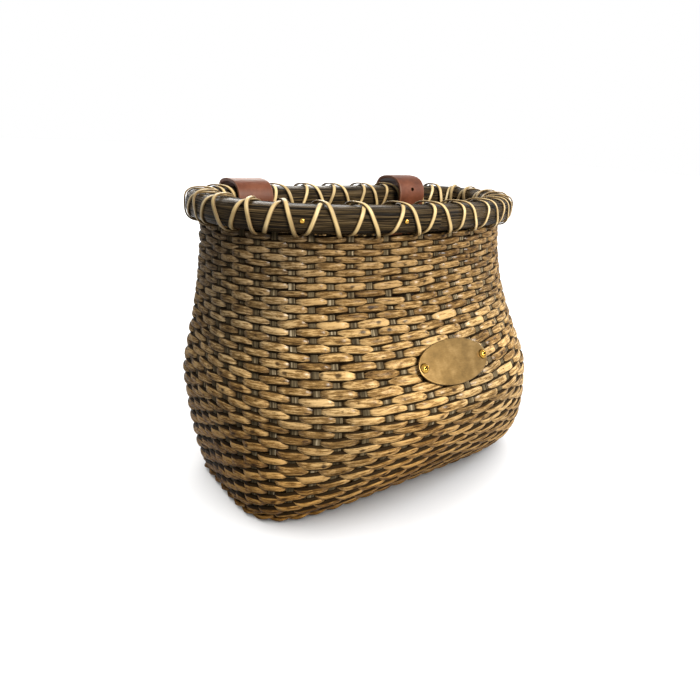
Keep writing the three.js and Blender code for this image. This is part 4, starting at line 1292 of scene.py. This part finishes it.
def roller_tube(plan):
    """A short tube on the frame's far bar: a closed profile with rounded ends turned round the bar."""
    half = plan.width / 2.0 + FRAME_SIDE_GAP + WIRE_RADIUS - FRAME_CORNER - SEAT_GAP
    bore = WIRE_RADIUS + SEAT_GAP
    end_radius = np.array((bore, bore + 0.2, ROLLER_RADIUS - 0.5, ROLLER_RADIUS - 0.15, ROLLER_RADIUS))
    end_inset = np.array((0.2, 0.0, 0.0, 0.15, 0.5))
    radius = np.concatenate([[bore], end_radius, end_radius[::-1], [bore]])
    along = np.concatenate([[0.0], end_inset - half, half - end_inset[::-1], [0.01]])
    origin = (plan.centre, *plan.on_frame(FRAME_LENGTH, 0.0))
    return spun(radius, along, ROLLER_SIDES, origin, ACROSS, (0.0, 1.0, 0.0))


def prong_wire(plan):
    """The prong: a wire curled round the heel bar, straight to the roller, with a tapered tip."""
    curl = np.radians(np.linspace(-30.0, -270.0, 25))
    tip = (FRAME_LENGTH + ROLLER_RADIUS + PRONG_RADIUS) / FRAME_LENGTH
    straight = np.append(np.linspace(0.08, 1.0, 12), tip - np.array((0.10, 0.04, 0.0)))
    along = np.concatenate([PRONG_RING * np.cos(curl), FRAME_LENGTH * straight])
    out = np.concatenate([PRONG_RING * np.sin(curl), PRONG_RING + (PRONG_REST - PRONG_RING) * straight])
    path = in_space(plan.on_frame(along, 0.0) + plan.on_frame(0.0, out) - plan.heel, plan.centre)
    radius = np.full((len(path), 1), PRONG_RADIUS)
    radius[-3:, 0] *= (0.95, 0.8, 0.5)
    angle = circle(PRONG_SIDES)
    return swept(path, np.broadcast_to(ACROSS, path.shape), radius * np.cos(angle), radius * np.sin(angle))


def rivet_body(plan):
    """Rivet through the fold: domed head, shank and flat foot turned round one axis."""
    height = BUCKLE_HEIGHT - RIVET_DROP
    foot = plan.half + SEAT_GAP
    sole = foot + RIVET_FOOT
    head = -plan.half - plan.thickness - 3.0 * SEAT_GAP
    dome = np.linspace(0.0, 0.98 * np.pi / 2, 8)
    radius = np.concatenate([
        (0.02, RIVET_HEAD - RIVET_FOOT_EDGE, RIVET_HEAD, RIVET_HEAD, RIVET_RADIUS, RIVET_RADIUS),
        RIVET_HEAD * np.cos(dome)])
    along = np.concatenate([
        (sole, sole, sole - RIVET_FOOT_EDGE, foot, foot, head), head - RIVET_RISE * np.sin(dome)])
    lean = plan.lean(height)
    origin, axis = (plan.centre, plan.layer(height), height), (0.0, np.cos(lean), np.sin(lean))
    return spun(radius, along, RIVET_SIDES, origin, axis, ACROSS)


class BASKET_OT_straps(bpy.types.Operator):
    """Cut the straps and keepers"""

    bl_idname = "basket.straps"
    bl_label = "Make the straps"

    def execute(self, context):
        settings = context.scene.basket.straps
        for side in SIDES:
            plan = StrapPlan(side, settings)
            leather = leather_material(settings, plan.centre)
            rings, path = strap_band(plan)
            strap = tube_piece(f"{side}_leather_strap", rings, leather, "leather", ROOT, f"{side}_strap",
                               lengths=running_length(path))
            punches = Skin()
            crossing, holes = punch_places(plan, path)
            punch(punches, path, crossing, PRONG_RADIUS + SEAT_GAP, PRONG_SLOT)
            fold_slot(punches, plan)
            for number in holes:
                punch(punches, path, number, HOLE_RADIUS, 0.0)
            punched(strap, punches)
            tube_piece(f"{side}_leather_keeper", keeper_band(plan), leather, "leather",
                       f"{side}_strap_keeper", f"{side}_strap_keeper", closed=True)
        return {"FINISHED"}


class BASKET_OT_buckles(bpy.types.Operator):
    """Bend the buckles and set the rivets"""

    bl_idname = "basket.buckles"
    bl_label = "Make the buckles"

    def execute(self, context):
        settings = context.scene.basket.straps
        brass = brass_material("satin_brass", settings.brass, BUCKLE_ROUGHNESS)
        for side in SIDES:
            plan = StrapPlan(side, settings)
            pieces = (
                ("buckle_wire", frame_wire(plan), True, ROOT, "buckle_frame"),
                ("buckle_tube", roller_tube(plan), True, f"{side}_buckle_roller", "buckle_roller"),
                ("buckle_tongue", prong_wire(plan), False, f"{side}_buckle_prong", "buckle_prong"),
                ("rivet_body", rivet_body(plan), False, ROOT, "strap_rivet"),
            )
            for name, rings, closed, body, node in pieces:
                tube_piece(f"{side}_{name}", rings, brass, "brass", body, f"{side}_{node}", closed=closed)
        return {"FINISHED"}


# Plate, screws and nails

PLATE_ROUGHNESS = 0.28
POLISHED_ROUGHNESS = 0.14
PLATE_HEIGHT = 106.0
PLATE_LENGTH = 60.0
PLATE_WIDTH = 30.0
PLATE_THICKNESS = 1.2
PLATE_STANDOFF = 0.9
PLATE_EDGE = 0.5
PLATE_SIDES = 96
SCREW_SPACING = 52.0
SCREW_HEAD = 3.25
SCREW_RISE = 2.2
SCREW_RADIUS = 1.5
SCREW_LENGTH = 7.5
SCREW_SIDES = 72
CROSS_WIDTH = 0.38
CROSS_REACH = 1.5
CROSS_DEPTH = 0.75
NAIL_STAKES = (45, 50)
NAIL_HEAD = 1.5
NAIL_RISE = 0.9
NAIL_SHANK = 0.7
NAIL_LENGTH = 6.0
NAIL_SIDES = 24


def plate_frame():
    """Middle of the plate, and its directions along, up and out of the wall."""
    middle = np.array((0.0, -levels(PLATE_HEIGHT)[1], PLATE_HEIGHT))
    lean = np.arctan2(levels(PLATE_HEIGHT - 1.0)[1] - levels(PLATE_HEIGHT + 1.0)[1], 2.0)
    up = np.array((0.0, np.sin(lean), np.cos(lean)))
    return middle, ACROSS, up, np.cross(ACROSS, up)


def plate_skin():
    """An oval plate: rings shrinking from its back over a rounded edge to its slightly crowned front.

    Past the edge the rings shrink twice as much along the plate as up it.
    """
    middle, along, up, out = plate_frame()
    bend = np.linspace(0.0, np.pi / 2, 5)
    inset = np.concatenate([
        (14.6, 8.0, 0.5, 0.12), PLATE_EDGE * (1.0 - np.cos(bend)), (0.9, 4.0, 8.0, 12.0, 14.6)])
    height = np.concatenate([
        (0.0, 0.0, 0.0, 0.1), PLATE_THICKNESS - PLATE_EDGE + PLATE_EDGE * np.sin(bend),
        PLATE_THICKNESS + np.array((0.0, 0.04, 0.07, 0.09, 0.10))])
    angle = circle(PLATE_SIDES)
    x = (PLATE_LENGTH / 2.0 - inset * np.where(inset > 1.0, 2.0, 1.0))[:, None] * np.cos(angle)
    y = (PLATE_WIDTH / 2.0 - inset)[:, None] * np.sin(angle)
    return (middle + x[..., None] * along + y[..., None] * up
            + (PLATE_STANDOFF + height)[:, None, None] * out)


def screw_skin(side):
    """A domed head with a cross recess: rings of a quarter ellipse, pressed in where a cross lies over them.

    Painted shade lies in the recess, and a painted dark reflection lies round the edge of the head.
    """
    middle, along, up, out = plate_frame()
    centre = middle + along * side * SCREW_SPACING / 2.0
    under = PLATE_STANDOFF + PLATE_THICKNESS + 0.05
    bend = np.linspace(0.0, np.pi / 2, 26)[:-1, None]
    angle = circle(SCREW_SIDES) + 0.35
    x, y = SCREW_HEAD * np.cos(bend) * np.cos(angle), SCREW_HEAD * np.cos(bend) * np.sin(angle)
    arm = np.minimum(np.maximum(np.abs(x) / CROSS_WIDTH, np.abs(y) / CROSS_REACH),
                     np.maximum(np.abs(y) / CROSS_WIDTH, np.abs(x) / CROSS_REACH))
    press = np.clip((1.25 - arm) / 0.4, 0.0, 1.0)
    turn = np.radians(20.0)
    x, y = x * np.cos(turn) - y * np.sin(turn), x * np.sin(turn) + y * np.cos(turn)
    height = under + SCREW_RISE * np.sin(bend) - CROSS_DEPTH * press
    radius = (0.05, SCREW_RADIUS, SCREW_RADIUS, SCREW_HEAD - 0.15)
    foot = spun(radius, (-SCREW_LENGTH, -SCREW_LENGTH, under, under), SCREW_SIDES, centre, out, along)
    head = centre + x[..., None] * along + y[..., None] * up + height[..., None] * out
    first = np.argmin(np.linalg.norm(head[0] - foot[-1][0], axis=1))
    # painted shade in the cross recess, and a painted dark reflection in a ring round the head's edge
    grime = np.maximum(press, 0.85 * np.clip(1.0 - bend / 0.42, 0.0, 1.0))
    grime = np.concatenate([np.ones(foot.shape[:2]), np.roll(grime, -first, axis=1)])
    return np.concatenate([foot, np.roll(head, -first, axis=1)]), grime


def nail_skin(stake):
    """A small nail: shank and domed head turned round the rim's outward direction."""
    base, inside = rim_points(stake_share(stake), np.array((RIM_HALF_DEPTH, RIM_HALF_DEPTH - 1.0)), 0.0)
    dome = np.linspace(0.0, 0.97 * np.pi / 2, 8)
    radius = np.concatenate([(0.02, NAIL_SHANK, NAIL_SHANK), NAIL_HEAD * np.cos(dome)])
    along = np.concatenate([(-NAIL_LENGTH, 0.4 - NAIL_LENGTH, 0.0), 0.02 + NAIL_RISE * np.sin(dome)])
    return spun(radius, along, NAIL_SIDES, base, base - inside, (0.0, 0.0, 1.0))


class BASKET_OT_plate(bpy.types.Operator):
    """Set the bare plate, its screws and the rim nails"""

    bl_idname = "basket.plate"
    bl_label = "Set the plate and nails"

    def execute(self, context):
        settings = context.scene.basket.straps
        brass = brass_material("plate_brass", settings.brass, PLATE_ROUGHNESS)
        polished = brass_material("screw_brass", settings.polished, POLISHED_ROUGHNESS)
        tube_piece("oval_plate", plate_skin(), brass, "brass", ROOT, "badge_plate")
        for direction, side in zip((-1.0, 1.0), SIDES):
            rings, grime = screw_skin(direction)
            tube_piece(f"{side}_plate_screw", rings, polished, "brass", ROOT, f"badge_screw_{side}",
                       values={"grime": grime})
            for node in (f"badge_washer_{side}", f"badge_nut_{side}"):
                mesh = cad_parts[node].data
                mesh.materials.clear()
                mesh.materials.append(brass)
        for number, stake in enumerate(NAIL_STAKES, 1):
            tube_piece(f"hoop_nail_{number}", nail_skin(stake), polished, "brass", ROOT,
                       f"rim_nail_{number}")
        return {"FINISHED"}


# Stage

CAMERA_PLACE = (-253.75, -332.62, 239.64)
CAMERA_YAW = np.radians(36.80)
CAMERA_PITCH = np.radians(21.16)
CAMERA_ROLL = np.radians(3.363)
SENSOR_WIDTH = 36.0
NEAREST_SEEN = 0.01
LAMP_AIM = (0.0, -30.0, 100.0)

# Name, direction, width of the disc in degrees, strength
SKY_SUN = ("sky_sun", (0.08, -0.10, 1.0), 125.0, 2.4)
FLOOR_SUN = ("floor_sun", (0.0, -0.10, 1.0), 100.0, 3.0)

# Name, place in millimetres, size in metres, power in watts, colour, and whether it leaves out the floor
LAMPS = (
    ("key_lamp", (150.0, -820.0, 640.0), 0.35, 17.5, (1.0, 0.95, 0.87), True),
    ("back_lamp", (320.0, 900.0, 480.0), 0.6, 7.0, (1.0, 0.96, 0.90), True),
    ("side_lamp", (760.0, -200.0, 420.0), 0.12, 1.2, (0.78, 0.88, 1.0), False),
)
FLOOR_REACH = 6.0
SURROUND_STRENGTH = 0.07
SURROUND_TONE = (1.0, 0.90, 0.76)
FLOOR_BOUNCE = (0.20, 0.19, 0.18)
WHITE = (1.0, 1.0, 1.0)


def camera_turn():
    """Columns of the camera's matrix from its yaw, pitch and roll: right, up and backwards."""
    forward = np.array((np.sin(CAMERA_YAW) * np.cos(CAMERA_PITCH), np.cos(CAMERA_YAW) * np.cos(CAMERA_PITCH),
                        -np.sin(CAMERA_PITCH)))
    right = np.array((np.cos(CAMERA_YAW), -np.sin(CAMERA_YAW), 0.0))
    up = np.cross(right, forward)
    turned_right = np.cos(CAMERA_ROLL) * right + np.sin(CAMERA_ROLL) * up
    turned_up = -np.sin(CAMERA_ROLL) * right + np.cos(CAMERA_ROLL) * up
    return np.stack([turned_right, turned_up, -forward], axis=1)


def placed(name, data, place, columns):
    """Links a camera or lamp at a place in millimetres, turned to the given columns."""
    made = bpy.data.objects.new(name, data)
    bpy.context.scene.collection.objects.link(made)
    matrix = np.eye(4)
    matrix[:3, :3] = columns
    matrix[:3, 3] = np.asarray(place) * MM
    made.matrix_world = Matrix(matrix.tolist())
    return made


def facing(place, aim):
    """Columns that turn a lamp at a place to face its aim."""
    back = unit(np.asarray(place, float) - np.asarray(aim, float))
    right = unit(np.cross((0.0, 0.0, 1.0), back))
    return np.stack([right, np.cross(back, right), back], axis=1)


def lamp(name, place, size, power, colour):
    """A square soft lamp at a place in millimetres, facing the basket."""
    data = bpy.data.lights.new(name, "AREA")
    data.shape = "SQUARE"
    data.size = size
    data.energy = power
    data.color = colour
    return placed(name, data, place, facing(place, LAMP_AIM))


def broad_sun(name, direction, spread, strength):
    """A sun with a wide disc, which lights the whole floor evenly and casts a soft shadow."""
    data = bpy.data.lights.new(name, "SUN")
    data.angle = np.radians(spread)
    data.energy = strength
    sun = placed(name, data, np.multiply(direction, 1000.0), facing(direction, (0.0, 0.0, 0.0)))
    sun.visible_glossy = False
    return sun


def seen_directly(flow):
    """1 on rays from the camera and on those it sees in gloss and glass, 0 on rays that only carry light."""
    seen = flow.node("LightPath", out="Is Camera Ray")
    for kind in ("Is Glossy Ray", "Is Transmission Ray"):
        seen = seen.math("MAXIMUM", seen, flow.node("LightPath", out=kind))
    return seen


def linked_light(light, floor, state):
    """Makes a light shine on the floor alone (INCLUDE) or on everything but the floor (EXCLUDE)."""
    group = bpy.data.collections.new(light.name + "_receivers")
    group.objects.link(floor)
    group.collection_objects[0].light_linking.link_state = state
    light.light_linking.receiver_collection = group


def floor_material(colour):
    """Matt floor that looks pale, and that throws little light back."""
    material, flow, shader = new_material("pale_floor")
    base = seen_directly(flow).mixed(FLOOR_BOUNCE, colour)
    feed(shader, {"Base Color": base, "Roughness": 0.9, "Specular IOR Level": 0.0})
    return material


def white_world(strength):
    """Soft surround of even strength that looks white."""
    world = bpy.data.worlds.new("studio")
    world.use_nodes = True
    tree = world.node_tree
    tree.nodes.clear()
    flow = Flow(tree)
    seen = seen_directly(flow)
    level = strength + seen * (1.0 - strength)
    colour = seen.mixed(SURROUND_TONE, WHITE)
    light = flow.node("Background", None, {"Color": colour, "Strength": level})
    output = tree.nodes.new("ShaderNodeOutputWorld")
    tree.links.new(light.socket, output.inputs["Surface"])
    bpy.context.scene.world = world


class BASKET_OT_stage(bpy.types.Operator):
    """Lay the floor, set the lamps and the camera"""

    bl_idname = "basket.stage"
    bl_label = "Set the stage"

    def execute(self, context):
        settings = context.scene.basket.stage
        scene = context.scene
        scene.view_settings.view_transform = "Standard"
        mesh = bpy.data.meshes.new("studio_floor")
        corners = [(x * FLOOR_REACH, y * FLOOR_REACH, 0.0) for x, y in ((-1, -1), (1, -1), (1, 1), (-1, 1))]
        mesh.from_pydata(corners, [], [(0, 1, 2, 3)])
        mesh.materials.append(floor_material(settings.floor))
        floor = bpy.data.objects.new("studio_floor", mesh)
        scene.collection.objects.link(floor)
        white_world(SURROUND_STRENGTH)
        broad_sun(*SKY_SUN)
        linked_light(broad_sun(*FLOOR_SUN), floor, "INCLUDE")
        for name, place, size, power, colour, leaves_floor in LAMPS:
            light = lamp(name, place, size, power, colour)
            if leaves_floor:
                linked_light(light, floor, "EXCLUDE")
        lens = bpy.data.cameras.new("photo_camera")
        lens.sensor_width = SENSOR_WIDTH
        lens.lens = settings.lens
        lens.clip_start = NEAREST_SEEN
        scene.camera = placed("photo_camera", lens, CAMERA_PLACE, camera_turn())
        return {"FINISHED"}


class BASKET_PT_panel(bpy.types.Panel):
    """The basket's settings and steps"""

    bl_idname = "BASKET_PT_panel"
    bl_label = "Woven basket"
    bl_space_type = "VIEW_3D"
    bl_region_type = "UI"
    bl_category = "Basket"

    def draw(self, context):
        settings = context.scene.basket
        for group in (settings.weave, settings.rim, settings.straps, settings.stage):
            box = self.layout.box()
            for name in group.__annotations__:
                box.prop(group, name)
        for step in STEPS:
            self.layout.operator(step.bl_idname)


STEPS = (BASKET_OT_stage, BASKET_OT_weave, BASKET_OT_rim, BASKET_OT_straps, BASKET_OT_buckles,
         BASKET_OT_plate)
CLASSES = (WeaveSettings, RimSettings, StrapSettings, StageSettings, BasketSettings, *STEPS, BASKET_PT_panel)


def register():
    for entry in CLASSES:
        bpy.utils.register_class(entry)
    bpy.types.Scene.basket = PointerProperty(type=BasketSettings)


def unregister():
    del bpy.types.Scene.basket
    for entry in reversed(CLASSES):
        bpy.utils.unregister_class(entry)


def main():
    register()
    bpy.ops.basket.stage()
    bpy.ops.basket.weave()
    bpy.ops.basket.rim()
    bpy.ops.basket.straps()
    bpy.ops.basket.buckles()
    bpy.ops.basket.plate()


if __name__ == "__main__":
    main()
